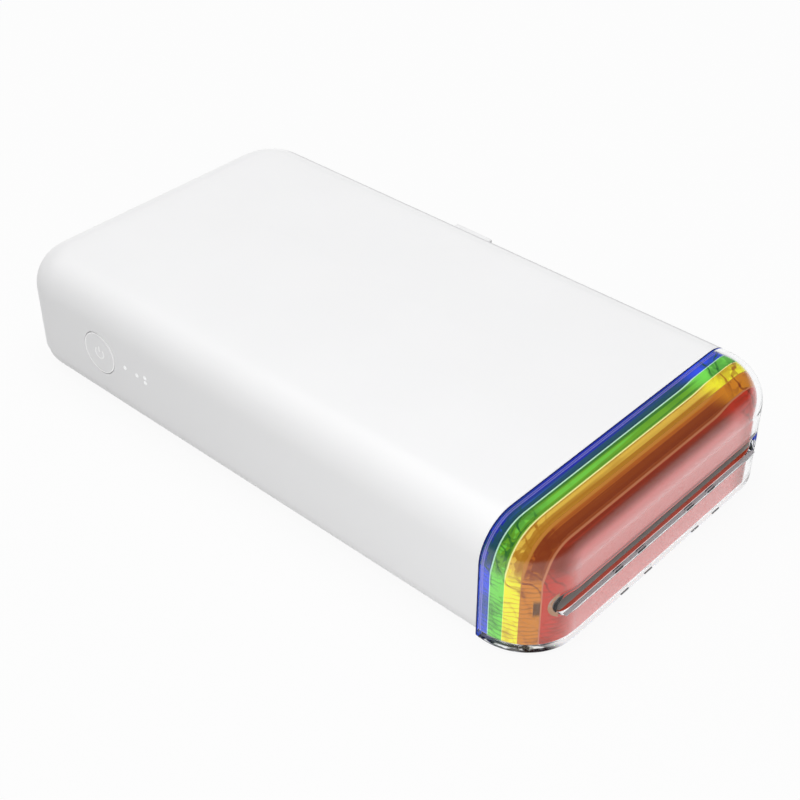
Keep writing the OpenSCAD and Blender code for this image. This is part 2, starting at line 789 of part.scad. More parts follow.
module second_idler() {
  color("ivory")
    gear_at(second_idler_at, idler_teeth, second_idler_phase, gear_a_y, axle_r + run_gap);
}

module ribbon_idler() {
  bore = axle_r + run_gap;
  color("ivory") {
    gear_at(ribbon_idler_at, idler_teeth, ribbon_idler_phase, gear_a_y, bore);
    gear_at(ribbon_idler_at, ribbon_teeth, 0, gear_b_y, bore);
    collar(ribbon_idler_at, 2, bore, gear_b_y + gear_w - touch, gear_a_y + touch);
  }
}

// ---- Motor ----

motor_shaft_r = 0.75;

module drive_motor() {
  color("silver") difference() {
    union() {
      bar(motor_at, motor_r, left_inner_y, left_inner_y + motor_l);
      bar(motor_at, motor_boss_r, left_plate_y, left_inner_y + touch);
      bar(motor_at, 2, left_inner_y + motor_l - touch, left_inner_y + motor_l + 1.2);
    }
    bar(motor_at, motor_shaft_r + run_gap, left_plate_y - 1, left_inner_y + 6);
  }
}

module motor_pinion() {
  color("goldenrod") {
    gear_at(motor_at, pinion_teeth, motor_phase, gear_b_y, motor_shaft_r - touch);
    bar(motor_at, motor_shaft_r, gear_b_y - 0.2, left_inner_y + 5.8);
  }
}

// ---- Rollers ----

roller_y1 = right_plate_y + side_t + 0.2;

module roller_shaft(at, y1) {
  color("silver") bar(at, shaft_r, gear_a_y - 0.1, y1);
}

module sleeve(at, r, bore, y0, y1) {
  across(y0, y1) translate(at) difference() {
    circle(r);
    circle(bore);
  }
}

module platen_shaft() { roller_shaft(platen_at, roller_y1); }
module platen_sleeve() {
  color("dimgray") sleeve(platen_at, platen_r, shaft_r, -sleeve_y, sleeve_y);
}
module platen_gear() {
  color("ivory") gear_at(platen_at, platen_teeth, platen_phase, gear_a_y, shaft_r);
}

module grip_shaft() { roller_shaft(grip_at, roller_y1); }
module grip_sleeve() {
  color("gray") sleeve(grip_at, grip_r, shaft_r, -sleeve_y, sleeve_y);
}
module grip_gear() {
  color("ivory") gear_at(grip_at, grip_teeth, grip_phase, gear_a_y, shaft_r);
}

module pinch_roller() {
  color("lightgray") {
    bar(pinch_at, pinch_shaft_r, left_plate_y - 0.2, roller_y1);
    bar(pinch_at, pinch_r, -sleeve_y, sleeve_y);
  }
}

module pickup_shaft() { roller_shaft(pickup_at, ear_y + 1.6); }
module pickup_roller() { color("dimgray") sleeve(pickup_at, pickup_r, shaft_r, -8, 7); }
module pickup_gear() {
  color("ivory") gear_at(pickup_at, pickup_teeth, pickup_phase, gear_a_y, shaft_r);
}

// Flanged bearing bushes of the platen and grip rollers, in both side plates
module roller_bushes() {
  color("burlywood") for (p = [platen_at, grip_at]) {
    sleeve(p, bush_r, shaft_r + run_gap, left_plate_y, left_inner_y);
    sleeve(p, bush_r + 0.5, shaft_r + run_gap, left_inner_y, left_inner_y + 0.5);
    sleeve(p, bush_r, shaft_r + run_gap, right_plate_y, right_plate_y + side_t);
    sleeve(p, bush_r + 0.5, shaft_r + run_gap, right_plate_y - 0.5, right_plate_y);
  }
}

// ---- Ribbon and paper cartridge ----

spool_hub_r = 2.4;
drive_depth = 5;

// Gear and shaft that turn the take-up spool through a hexagonal nose
module take_up_spindle() {
  color("ivory") {
    gear_at(take_up_at, pinion_teeth, take_up_phase, gear_b_y, spindle_r - touch);
    bar(take_up_at, spindle_r, gear_b_y - 0.2, cartridge_y0 - 0.2);
    across(cartridge_y0 - 0.2 - touch, cartridge_y0 + drive_depth) translate(take_up_at)
      circle(spindle_r, $fn = 6);
  }
}

// A ribbon spool: journals in the cartridge cheeks and the wound ribbon between them
module spool(at, film_r, core) {
  y0 = cartridge_y0;
  y1 = cartridge_y1;
  difference() {
    union() {
      bar(at, journal_r, y0, y1);
      bar(at, spool_hub_r, y0 + cheek_t + 0.3, y1 - cheek_t - 0.3);
      bar(at, film_r, -sheet_w / 2 - 0.5, sheet_w / 2 + 0.5);
      for (y = [-sheet_w / 2 - 1.3, sheet_w / 2 + 0.5]) bar(at, film_r + 0.4, y, y + 0.8);
    }
    across(y0 - 1, y0 + drive_depth + 0.4) translate(at) circle(core, $fn = 6);
  }
}

module take_up_spool() { color("black") spool(take_up_at, take_up_film_r, spindle_r + 0.05); }
module supply_spool() { color("black") spool(supply_at, supply_film_r, spindle_r + 0.05); }

// The ribbon from the supply spool, under the print head, to the take-up spool
module ribbon_film() {
  x0 = supply_at[0] + supply_film_r + 0.05;
  x1 = take_up_at[0] - take_up_film_r - 0.05 - film_t;
  bend0 = rear_guide_at[0] - guide_r - 0.15;
  bend1 = front_guide_at[0] + guide_r + 0.3;
  top = film_z + film_t;
  color("purple") across(-sheet_w / 2, sheet_w / 2) polygon([
    [x0, supply_at[1]], [x0, supply_at[1] - 1], [bend0 - 0.4, top + 0.7], [bend0 + 0.3, film_z],
    [bend1 - 0.3, film_z], [bend1 + 0.2, top + 0.6], [x1 + film_t, take_up_at[1] - 1],
    [x1 + film_t, take_up_at[1]], [x1, take_up_at[1]], [x1, take_up_at[1] - 1],
    [bend1 + 0.05, top + 0.65], [bend1 - 0.35, top], [bend0 + 0.38, top],
    [bend0 - 0.3, top + 0.76], [x0 + film_t, supply_at[1] - 1], [x0 + film_t, supply_at[1]]
  ]);
}

// Section of the cartridge between its end cheeks
module cartridge_section() {
  w = cartridge_wall;
  difference() {
    union() {
      translate([tray_x0, cartridge_z])
        square([tray_x1 - tray_x0, tray_top_z - cartridge_z]);
      translate(supply_at) circle(supply_shell_r);
      translate(take_up_at) circle(take_up_shell_r);
      translate([supply_at[0], cartridge_top_z - 1]) square([take_up_at[0] - supply_at[0], 1]);
    }
    translate([tray_x0 + w, cartridge_z + w])
      square([tray_x1 - tray_x0 - 2 * w, stack_top_z + 0.3 - cartridge_z - w]);
    translate([tray_x1 - w - 1, stack_top_z - 0.4]) square([w + 2, 0.7]);
    translate(supply_at) circle(supply_shell_r - w);
    translate(take_up_at) circle(take_up_shell_r - w);
    translate([supply_at[0] + 1, tray_top_z])
      square([supply_shell_r, supply_at[1] - 0.8 - tray_top_z]);
    translate([rear_guide_at[0] - guide_r - 1, stack_top_z - 0.4]) square([4, 3]);
    translate([take_up_at[0] - 0.6 - take_up_shell_r, take_up_at[1] - take_up_shell_r])
      square([take_up_shell_r, take_up_shell_r - 0.8]);
  }
  translate(rear_guide_at) circle(guide_r);
  translate(front_guide_at) circle(guide_r);
}

// Outline of the end cheeks, with room for the platen roller and the print head
module cheek_outline() {
  translate([tray_x0, cartridge_z]) square([tray_x1 - tray_x0, tray_top_z - cartridge_z]);
  translate(supply_at) circle(supply_shell_r);
  translate(take_up_at) circle(take_up_shell_r);
  translate([supply_at[0], cartridge_top_z - 1]) square([take_up_at[0] - supply_at[0], 1]);
  translate([supply_at[0], tray_top_z - 0.3])
    square([rear_guide_at[0] + guide_r - supply_at[0], 2]);
  translate([front_guide_at[0] - guide_r, film_z + film_t])
    square([take_up_at[0] - front_guide_at[0], take_up_at[1] - film_z - 2]);
}

module cartridge_shell() {
  bay_x = pickup_at[0];
  color("dimgray") difference() {
    union() {
      across(cartridge_y0, cartridge_y1) cartridge_section();
      for (y = [cartridge_y0, cartridge_y1 - cheek_t]) across(y, y + cheek_t) cheek_outline();
    }
    for (p = [supply_at, take_up_at]) bar(p, journal_r + run_gap, cartridge_y0 - 1, cartridge_y1 + 1);
    translate([bay_x - 5, cartridge_y0 - 1, stack_top_z + 0.1])
      cube([10, ear_y - cartridge_y0, tray_top_z - stack_top_z + 1]);
  }
}

module paper_stack() {
  color("white") translate([sheet_x0, -sheet_w / 2, stack_z]) cube([sheet_l, sheet_w, stack_h]);
}

// Thin sprung plate that lifts the stack, standing on two bent feet
module paper_lift_plate() {
  t = 0.2;
  floor_in = cartridge_z + cartridge_wall;
  color("silver") across(-20, 20) {
    translate([sheet_x0 + 4, stack_z - t]) square([sheet_l - 8, t]);
    for (x = [sheet_x0 + 12, sheet_x1 - 16]) translate([x, floor_in]) square([4, stack_z - floor_in]);
  }
}

// ---- Print head ----

module head_pivot_shaft() {
  color("silver") bar(head_shaft_at, head_shaft_r, left_plate_y, right_plate_y + side_t);
}

// Bent steel arm from the pivot to the top of the heat sink
module head_bracket() {
  color("lightgray") across(-sheet_w / 2 - 2, sheet_w / 2 + 2) difference() {
    union() {
      translate(head_shaft_at) circle(head_shaft_r + 0.7);
      translate([head_shaft_at[0], bracket_z]) square([head_x1 - head_shaft_at[0], bracket_t]);
    }
    translate(head_shaft_at) circle(head_shaft_r + run_gap);
  }
}

// Finned aluminium block under the bracket
module head_heat_sink() {
  fins = 4;
  pitch = (head_x1 - head_x0) / fins;
  color("silver") across(-sheet_w / 2 - 2, sheet_w / 2 + 2) difference() {
    translate([head_x0, head_z + head_base_t]) square([head_x1 - head_x0, sink_h]);
    for (i = [0 : fins - 2]) translate([head_x0 + (i + 1) * pitch - 0.4, head_z + head_base_t + 1.5])
      square([0.8, sink_h - 1.5]);
  }
}

// Ceramic strip with its raised heater line
module thermal_head() {
  color("seashell") across(-sheet_w / 2 - 1, sheet_w / 2 + 1) {
    translate([head_x0, head_z + 0.1]) square([head_x1 - head_x0, head_base_t - 0.1]);
    translate([platen_at[0] - 0.6, head_z]) square([1.2, 0.2]);
  }
}

// ---- Battery, boards and socket ----

module rounded_slab(size, r) {
  linear_extrude(size[2]) {
    translate([r, 0]) square([size[0] - 2 * r, size[1]]);
    translate([0, r]) square([size[0], size[1] - 2 * r]);
    for (x = [r, size[0] - r]) for (y = [r, size[1] - r]) translate([x, y]) circle(r);
  }
}

module battery_pack() {
  l = deck_x1 - plate_x0 - 2 * battery_gap;
  color("lightslategray") translate([plate_x0 + battery_gap, -battery_w / 2, deck_z + deck_t])
    rounded_slab([l, battery_w, battery_t], 1.5);
}

module main_board() {
  y0 = left_inner_y + 0.6;
  y1 = right_plate_y - 0.6;
  color("darkgreen") {
    translate([plate_x0 + 0.4, y0, main_board_z]) cube([deck_x1 - plate_x0 - 0.8, y1 - y0, board_t]);
    for (chip = board_chips) translate([chip[0], chip[1], main_board_z + board_t - touch])
      cube([chip[2], chip[3], chip_t]);
  }
}

usb_w = 8.9;
usb_h = 3.2;
usb_depth = 7.3;
usb_z = charge_z + board_t + usb_h / 2;

module stadium(w, h) {
  translate([-(w - h) / 2, -h / 2]) square([w - h, h]);
  for (side = [-1, 1]) translate([side * (w - h) / 2, 0]) circle(h / 2);
}

module charge_board() {
  color("darkgreen") translate([rear_x + wall + 0.3, -14, charge_z]) cube([8.5, 28, board_t]);
}

// Metal shell of the charging socket, with its tongue
module usb_socket() {
  x0 = rear_x + 0.6;
  color("silver") translate([x0, 0, usb_z]) rotate([90, 0, 90]) {
    difference() {
      linear_extrude(usb_depth) stadium(usb_w, usb_h);
      translate([0, 0, -1]) linear_extrude(usb_depth) stadium(usb_w - 0.6, usb_h - 0.6);
    }
    translate([-3.3, -0.35, 1]) cube([6.6, 0.7, usb_depth - 1]);
  }
}

module usb_window() {
  translate([rear_x - 1, 0, usb_z]) rotate([90, 0, 90]) linear_extrude(wall + 2)
    stadium(usb_w + 0.3, usb_h + 0.3);
  translate([rear_x - 1, 11, usb_z]) rotate([0, 90, 0]) cylinder(h = wall + 2, r = 0.6);
}

// ---- Feet and screws ----

module rubber_feet() {
  color("dimgray") for (p = foot_points) translate([p[0], p[1], 0])
    cylinder(h = case_z + foot_seat, r = foot_r - 0.05);
}

module case_screws() {
  color("gray") for (p = screw_points) translate([p[0], p[1], 0]) {
    translate([0, 0, screw_seat_z - 1.1]) cylinder(h = 1.1, r = screw_head_r);
    translate([0, 0, screw_seat_z - touch]) cylinder(h = boss_z + 7.5 - screw_seat_z, r = screw_r);
  }
}

bottom_case();
upper_shell();
front_cap();
blue_plate();
green_plate();
yellow_plate();
orange_plate();
red_plate();
slot_liner();
exit_guide();
cartridge_door();
door_hinge_pins();
power_button();
status_lights();
button_board();
chassis_frame();
gear_axles();
drive_motor();
motor_pinion();
reduction_gear();
pickup_shaft();
pickup_roller();
pickup_gear();
first_idler();
second_idler();
platen_shaft();
platen_sleeve();
platen_gear();
ribbon_idler();
grip_shaft();
grip_sleeve();
grip_gear();
pinch_roller();
roller_bushes();
take_up_spindle();
take_up_spool();
supply_spool();
ribbon_film();
cartridge_shell();
paper_stack();
paper_lift_plate();
head_pivot_shaft();
head_bracket();
head_heat_sink();
thermal_head();
battery_pack();
main_board();
charge_board();
usb_socket();
rubber_feet();
case_screws();
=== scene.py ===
"""Looks of a compact photo printer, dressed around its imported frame.

The printer lies flat: X runs along it with the paper slot at +X, Y runs across it with the power
button on the -Y side and the cartridge door on the +Y side, and Z is up. All lengths here are in
metres, and MM turns a drawing's millimetres into them.
"""
import logging
import math
from collections.abc import Callable, Iterable
from dataclasses import dataclass, field
from enum import Enum

import bmesh
import bpy
from mathutils import Matrix, Vector


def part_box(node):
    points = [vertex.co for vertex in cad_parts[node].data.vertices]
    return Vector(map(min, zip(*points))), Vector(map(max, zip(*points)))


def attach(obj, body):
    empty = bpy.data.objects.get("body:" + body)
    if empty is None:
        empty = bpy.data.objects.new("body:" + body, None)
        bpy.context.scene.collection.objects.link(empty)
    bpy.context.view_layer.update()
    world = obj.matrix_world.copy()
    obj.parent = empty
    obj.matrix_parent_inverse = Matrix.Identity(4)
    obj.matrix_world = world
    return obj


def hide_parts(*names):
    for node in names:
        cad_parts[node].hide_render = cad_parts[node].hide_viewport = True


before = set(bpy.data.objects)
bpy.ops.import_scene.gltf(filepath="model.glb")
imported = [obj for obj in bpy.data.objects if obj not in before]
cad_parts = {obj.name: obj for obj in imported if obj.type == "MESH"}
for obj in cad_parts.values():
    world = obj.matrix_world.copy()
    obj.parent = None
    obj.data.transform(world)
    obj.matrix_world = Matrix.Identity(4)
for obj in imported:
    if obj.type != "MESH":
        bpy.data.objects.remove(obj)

MM = 0.001
NEAR = 1e-6  # places nearer than this count as one
WELD_GAP = 0.001 * MM
SOFT_ANGLE = 32.0  # degrees: sharper edges stay crisp
BREAK_ANGLE = 35.0  # degrees: sharper edges are broken
SLOT_Z = 11.15 * MM
GRAIN = 0.35 * MM
GRAIN_DEPTH = 0.006 * MM
LINE_DEPTH = 0.02 * MM
EVEN = (1.0, 1.0, 1.0)
WHITE = (1.0, 1.0, 1.0)
log = logging.getLogger("printer")

Colour = tuple[float, float, float]
Point = tuple[float, float, float]
Span = tuple[float, float]
Piece = bpy.types.Object


# ---- shader graphs


class Value:
    """A shader socket, or a plain number, that takes part in Python expressions."""

    def __init__(self, graph: "Graph", socket: bpy.types.NodeSocket) -> None:
        """Holds the socket and the graph that it belongs to.

        Args:
            graph: The graph whose nodes an expression adds to.
            socket: The output socket that carries the value.
        """
        self.graph = graph
        self.socket = socket

    def _math(self, operation: str, *others: "Value | float", swap: bool = False) -> "Value":
        """Adds a Math node on this value.

        Args:
            operation: The Math node's operation.
            others: The other operands, in order.
            swap: Whether this value comes second.

        Returns:
            The result of the operation.
        """
        terms = [self, *others]
        if swap:
            terms.reverse()
        return self.graph.node("ShaderNodeMath", {"operation": operation}, dict(enumerate(terms)))

    def __add__(self, other: "Value | float") -> "Value":
        """This value plus another."""
        return self._math("ADD", other)

    __radd__ = __add__

    def __sub__(self, other: "Value | float") -> "Value":
        """This value less another."""
        return self._math("SUBTRACT", other)

    def __rsub__(self, other: float) -> "Value":
        """A number less this value."""
        return self._math("SUBTRACT", other, swap=True)

    def __mul__(self, other: "Value | float") -> "Value":
        """This value times another."""
        return self._math("MULTIPLY", other)

    __rmul__ = __mul__

    def __gt__(self, other: "Value | float") -> "Value":
        """One where this value is larger, and zero elsewhere."""
        return self._math("GREATER_THAN", other)

    def __lt__(self, other: "Value | float") -> "Value":
        """One where this value is smaller, and zero elsewhere."""
        return self._math("LESS_THAN", other)

    def __abs__(self) -> "Value":
        """This value without its sign."""
        return self._math("ABSOLUTE")

    def smooth(self, low: float, high: float) -> "Value":
        """A soft step of this value.

        Args:
            low: Where the step starts from zero.
            high: Where the step has reached one.

        Returns:
            The stepped value.
        """
        settings = {"interpolation_type": "SMOOTHSTEP"}
        return self.graph.node("ShaderNodeMapRange", settings, {0: self, 1: low, 2: high})


class Graph:
    """The node tree of one material, or of the world."""

    def __init__(self, tree: bpy.types.NodeTree) -> None:
        """Empties the tree.

        Args:
            tree: The node tree to fill.
        """
        self.tree = tree
        tree.nodes.clear()

    def node(
        self,
        kind: str,
        settings: dict | None = None,
        inputs: dict | None = None,
        output: int | str = 0,
    ) -> Value:
        """Adds one node of any type.

        Args:
            kind: The node's type name.
            settings: The node's own settings.
            inputs: A value or a link for each input, by its name or number.
            output: The output to return.

        Returns:
            The chosen output, as a value for expressions.
        """
        made = self.tree.nodes.new(kind)
        for name, value in (settings or {}).items():
            setattr(made, name, value)
        for name, value in (inputs or {}).items():
            if isinstance(value, Value):
                self.tree.links.new(value.socket, made.inputs[name])
            else:
                made.inputs[name].default_value = value
        return Value(self, made.outputs[output] if len(made.outputs) else None)

    def place(self, scale: Point = EVEN) -> Value:
        """The point on the piece, stretched along its axes.

        Args:
            scale: How many pattern units fill one metre of each axis.

        Returns:
            The stretched point.
        """
        point = self.node("ShaderNodeTexCoord", output="Object")
        return self.node("ShaderNodeMapping", inputs={"Vector": point, "Scale": scale})

    def axis(self, letter: str) -> Value:
        """One coordinate of the point on the piece.

        Args:
            letter: X, Y or Z.

        Returns:
            The coordinate, in metres.
        """
        return self.node("ShaderNodeSeparateXYZ", inputs={0: self.place()}, output=letter)

    def noise(self, size: float, detail: float = 2.0, stretch: Point = EVEN) -> Value:
        """Soft noise.

        Args:
            size: Size of one blob, in metres.
            detail: How many finer layers are added.
            stretch: Relative density along each axis.

        Returns:
            Noise from zero to one.
        """
        scale = tuple(part / size for part in stretch)
        inputs = {"Vector": self.place(scale), "Scale": 1.0, "Detail": detail}
        return self.node("ShaderNodeTexNoise", inputs=inputs)

    def mix(self, factor: Value | float, first: Value | Colour, second: Value | Colour) -> Value:
        """Mixes two colours.

        Args:
            factor: Share of the second colour.
            first: Colour at zero.
            second: Colour at one.

        Returns:
            The mixed colour.
        """
        colours = [c if isinstance(c, Value) else (*c, 1.0) for c in (first, second)]
        settings = {"data_type": "RGBA"}
        inputs = {"Factor": factor, 6: colours[0], 7: colours[1]}
        return self.node("ShaderNodeMix", settings, inputs, output=2)

    def coats(self, body: Colour | Value, *layers: tuple[Value, Colour]) -> Value:
        """Lays colours over one another.

        Args:
            body: The lowest colour.
            layers: The share and the colour of each layer, from the lowest up.

        Returns:
            The mixed colour.
        """
        for share, colour in layers:
            body = self.mix(share, body, colour)
        return body

    def bump(self, height: Value, depth: float) -> Value:
        """A bumped normal.

        Args:
            height: Height from zero to one.
            depth: What a height of one stands for, in metres.

        Returns:
            The normal.
        """
        inputs = {"Strength": 1.0, "Distance": depth, "Height": height}
        return self.node("ShaderNodeBump", inputs=inputs)

    def finish(self, shader: Value) -> None:
        """Ends the graph in a material's output.

        Args:
            shader: The shader to show.
        """
        self.node("ShaderNodeOutputMaterial", inputs={"Surface": shader})


def new_graph(name: str) -> tuple[bpy.types.Material, Graph]:
    """Starts a material.

    Args:
        name: The material's name.

    Returns:
        The material and its empty graph.
    """
    material = bpy.data.materials.new(name)
    material.use_nodes = True
    return material, Graph(material.node_tree)


# ---- finishes


@dataclass(frozen=True)
class Coating:
    """What every finish has: a name, a main colour, and the shader that it is made with."""

    name: str
    colour: Colour

    def material(self) -> bpy.types.Material:
        """Builds the material.

        Returns:
            The finished material.
        """
        material, graph = new_graph(self.name)
        graph.finish(self.shader(graph))
        return material

    def shader(self, graph: Graph) -> Value:
        """Builds the shader.

        Args:
            graph: The material's graph.

        Returns:
            A Principled BSDF, unless a finish needs more than that.
        """
        return graph.node("ShaderNodeBsdfPrincipled", inputs=self.inputs(graph))

    def inputs(self, graph: Graph) -> dict:
        """The inputs of the Principled BSDF.

        Args:
            graph: The material's graph.

        Returns:
            A value or a link for each input, by its name.
        """
        raise NotImplementedError


@dataclass(frozen=True)
class PaintedFarShade:
    """Painted shade: a dark line on the far long side's turn and a dark tip on the door's tab."""

    rise_y: Span = (34.4 * MM, 36 * MM)
    fall_y: Span = (36.4 * MM, 38 * MM)
    rise_z: Span = (23.4 * MM, 25.2 * MM)
    tip_y: float = 42.8 * MM
    shade_line_share: float = 0.6
    tip_shade_share: float = 0.3
    colour: Colour = (0.3, 0.3, 0.31)

    def paint_shade(self, graph: Graph, body: Value) -> Value:
        """Paints the shade over a body colour.

        Args:
            graph: The material's graph.
            body: The colour elsewhere.

        Returns:
            The colour with the painted shade line and tip.
        """
        y, z = graph.axis("Y"), graph.axis("Z")
        line = y.smooth(*self.rise_y) * (1.0 - y.smooth(*self.fall_y)) * z.smooth(*self.rise_z)
        share = line * self.shade_line_share + (y > self.tip_y) * self.tip_shade_share
        return graph.mix(share, body, self.colour)


@dataclass(frozen=True)
class Moulded(Coating):
    """Injection-moulded plastic with a fine spark-eroded grain and slightly uneven gloss."""

    roughness: float = 0.42
    drift: float = 0.02
    # Strength of a white emission; on the power marks it is a painted highlight.
    glow_and_painted_light: float = 0.0
    # Painted shade on the far side's turn, where set.
    edge: PaintedFarShade | None = None
    cloud: float = 22 * MM
    uneven: float = 0.06

    def inputs(self, graph: Graph) -> dict:
        """The inputs of the Principled BSDF."""
        cloud = graph.noise(self.cloud, 3.0)
        pale = tuple(min(1.0, part * (1 + self.drift)) for part in self.colour)
        deep = tuple(part * (1 - self.drift) for part in self.colour)
        body = graph.mix(cloud.smooth(0.35, 0.65), deep, pale)
        # Painted shade where the far side turns over.
        if self.edge:
            body = self.edge.paint_shade(graph, body)
        return {
            "Base Color": body,
            "Roughness": cloud * self.uneven + (self.roughness - self.uneven / 2),
            "Normal": graph.bump(graph.noise(GRAIN), GRAIN_DEPTH),
            "IOR": 1.5,
            "Emission Color": (*WHITE, 1.0),
            "Emission Strength": self.glow_and_painted_light,
        }


@dataclass(frozen=True)
class ClearAcrylic(Coating):
    """Polished clear acrylic that lets the lamps through to what lies behind it."""

    index: float = 1.42
    gloss: float = 0.3
    haze: float = 9 * MM
    haze_depth: float = 0.02
    swell: float = 14 * MM
    swell_depth: float = 0.02 * MM
    open_z: Span = (1.7 * MM, 1.95 * MM)
    open_share: float = 0.85
    # Painted shadow: the dark gap under the cap, seen in broken stripes through its lower rim.
    gap_shadow_z: float = 0.8 * MM
    gap_shadow_y: Span = (29.5 * MM, 33.5 * MM)
    streak: float = 2.2 * MM
    gap_shadow_dark: Colour = (0.02, 0.02, 0.04)
    gap_shadow_pale: Colour = (0.3, 0.3, 0.38)

    def inputs(self, graph: Graph) -> dict:
        """The inputs of the Principled BSDF."""
        return {
            "Base Color": (*self.colour, 1.0),
            "Roughness": graph.noise(self.haze).smooth(0.5, 0.9) * self.haze_depth,
            "Normal": graph.bump(graph.noise(self.swell, 0.0), self.swell_depth),
            "Transmission Weight": 1.0,
            "IOR": self.index,
            "Specular IOR Level": self.gloss,
        }

    def shader(self, graph: Graph) -> Value:
        """Builds the shader: open to shadows and near the table, with painted shadow low down."""
        glass = super().shader(graph)
        open_air = graph.node("ShaderNodeBsdfTransparent", inputs={0: (*self.colour, 1.0)})
        shadow = graph.node("ShaderNodeLightPath", output="Is Shadow Ray")
        height = graph.axis("Z")
        low = (1.0 - height.smooth(*self.open_z)) * self.open_share
        thin = graph.node("ShaderNodeMath", {"operation": "MAXIMUM"}, {0: shadow, 1: low})
        clear = graph.node("ShaderNodeMixShader", inputs={0: thin, 1: glass, 2: open_air})
        # Painted shadow of the gap under the cap, broken into stripes along the lower rim.
        gap_shadow_streaks = graph.noise(self.streak, 2.0, (0.8, 0.8, 5.0))
        gap_shadow_tone = graph.mix(gap_shadow_streaks.smooth(0.5, 0.62), self.gap_shadow_dark, self.gap_shadow_pale)
        dark = graph.node(
            "ShaderNodeBsdfPrincipled", inputs={"Base Color": gap_shadow_tone, "Roughness": 0.25}
        )
        rim = (height < self.gap_shadow_z) * abs(graph.axis("Y")).smooth(*self.gap_shadow_y)
        share = rim * gap_shadow_streaks.smooth(0.36, 0.44)
        return graph.node("ShaderNodeMixShader", inputs={0: share, 1: clear, 2: dark})


@dataclass(frozen=True)
class Ripple:
    """Wavy lines of the kind that a polished end shows."""

    direction: str
    scale: float
    twist: float
    crest: Span
    where: Span

    def mark(self, graph: Graph, cloud: Value) -> Value:
        """Draws the lines.

        Args:
            graph: The material's graph.
            cloud: Soft noise that leaves some places plain.

        Returns:
            How strongly each place is marked.
        """
        wave = graph.node(
            "ShaderNodeTexWave",
            {"wave_type": "BANDS", "bands_direction": self.direction},
            {
                "Vector": graph.place(),
                "Scale": self.scale,
                "Distortion": self.twist,
                "Detail": 2.0,
            },
        )
        return wave.smooth(*self.crest) * cloud.smooth(*self.where)


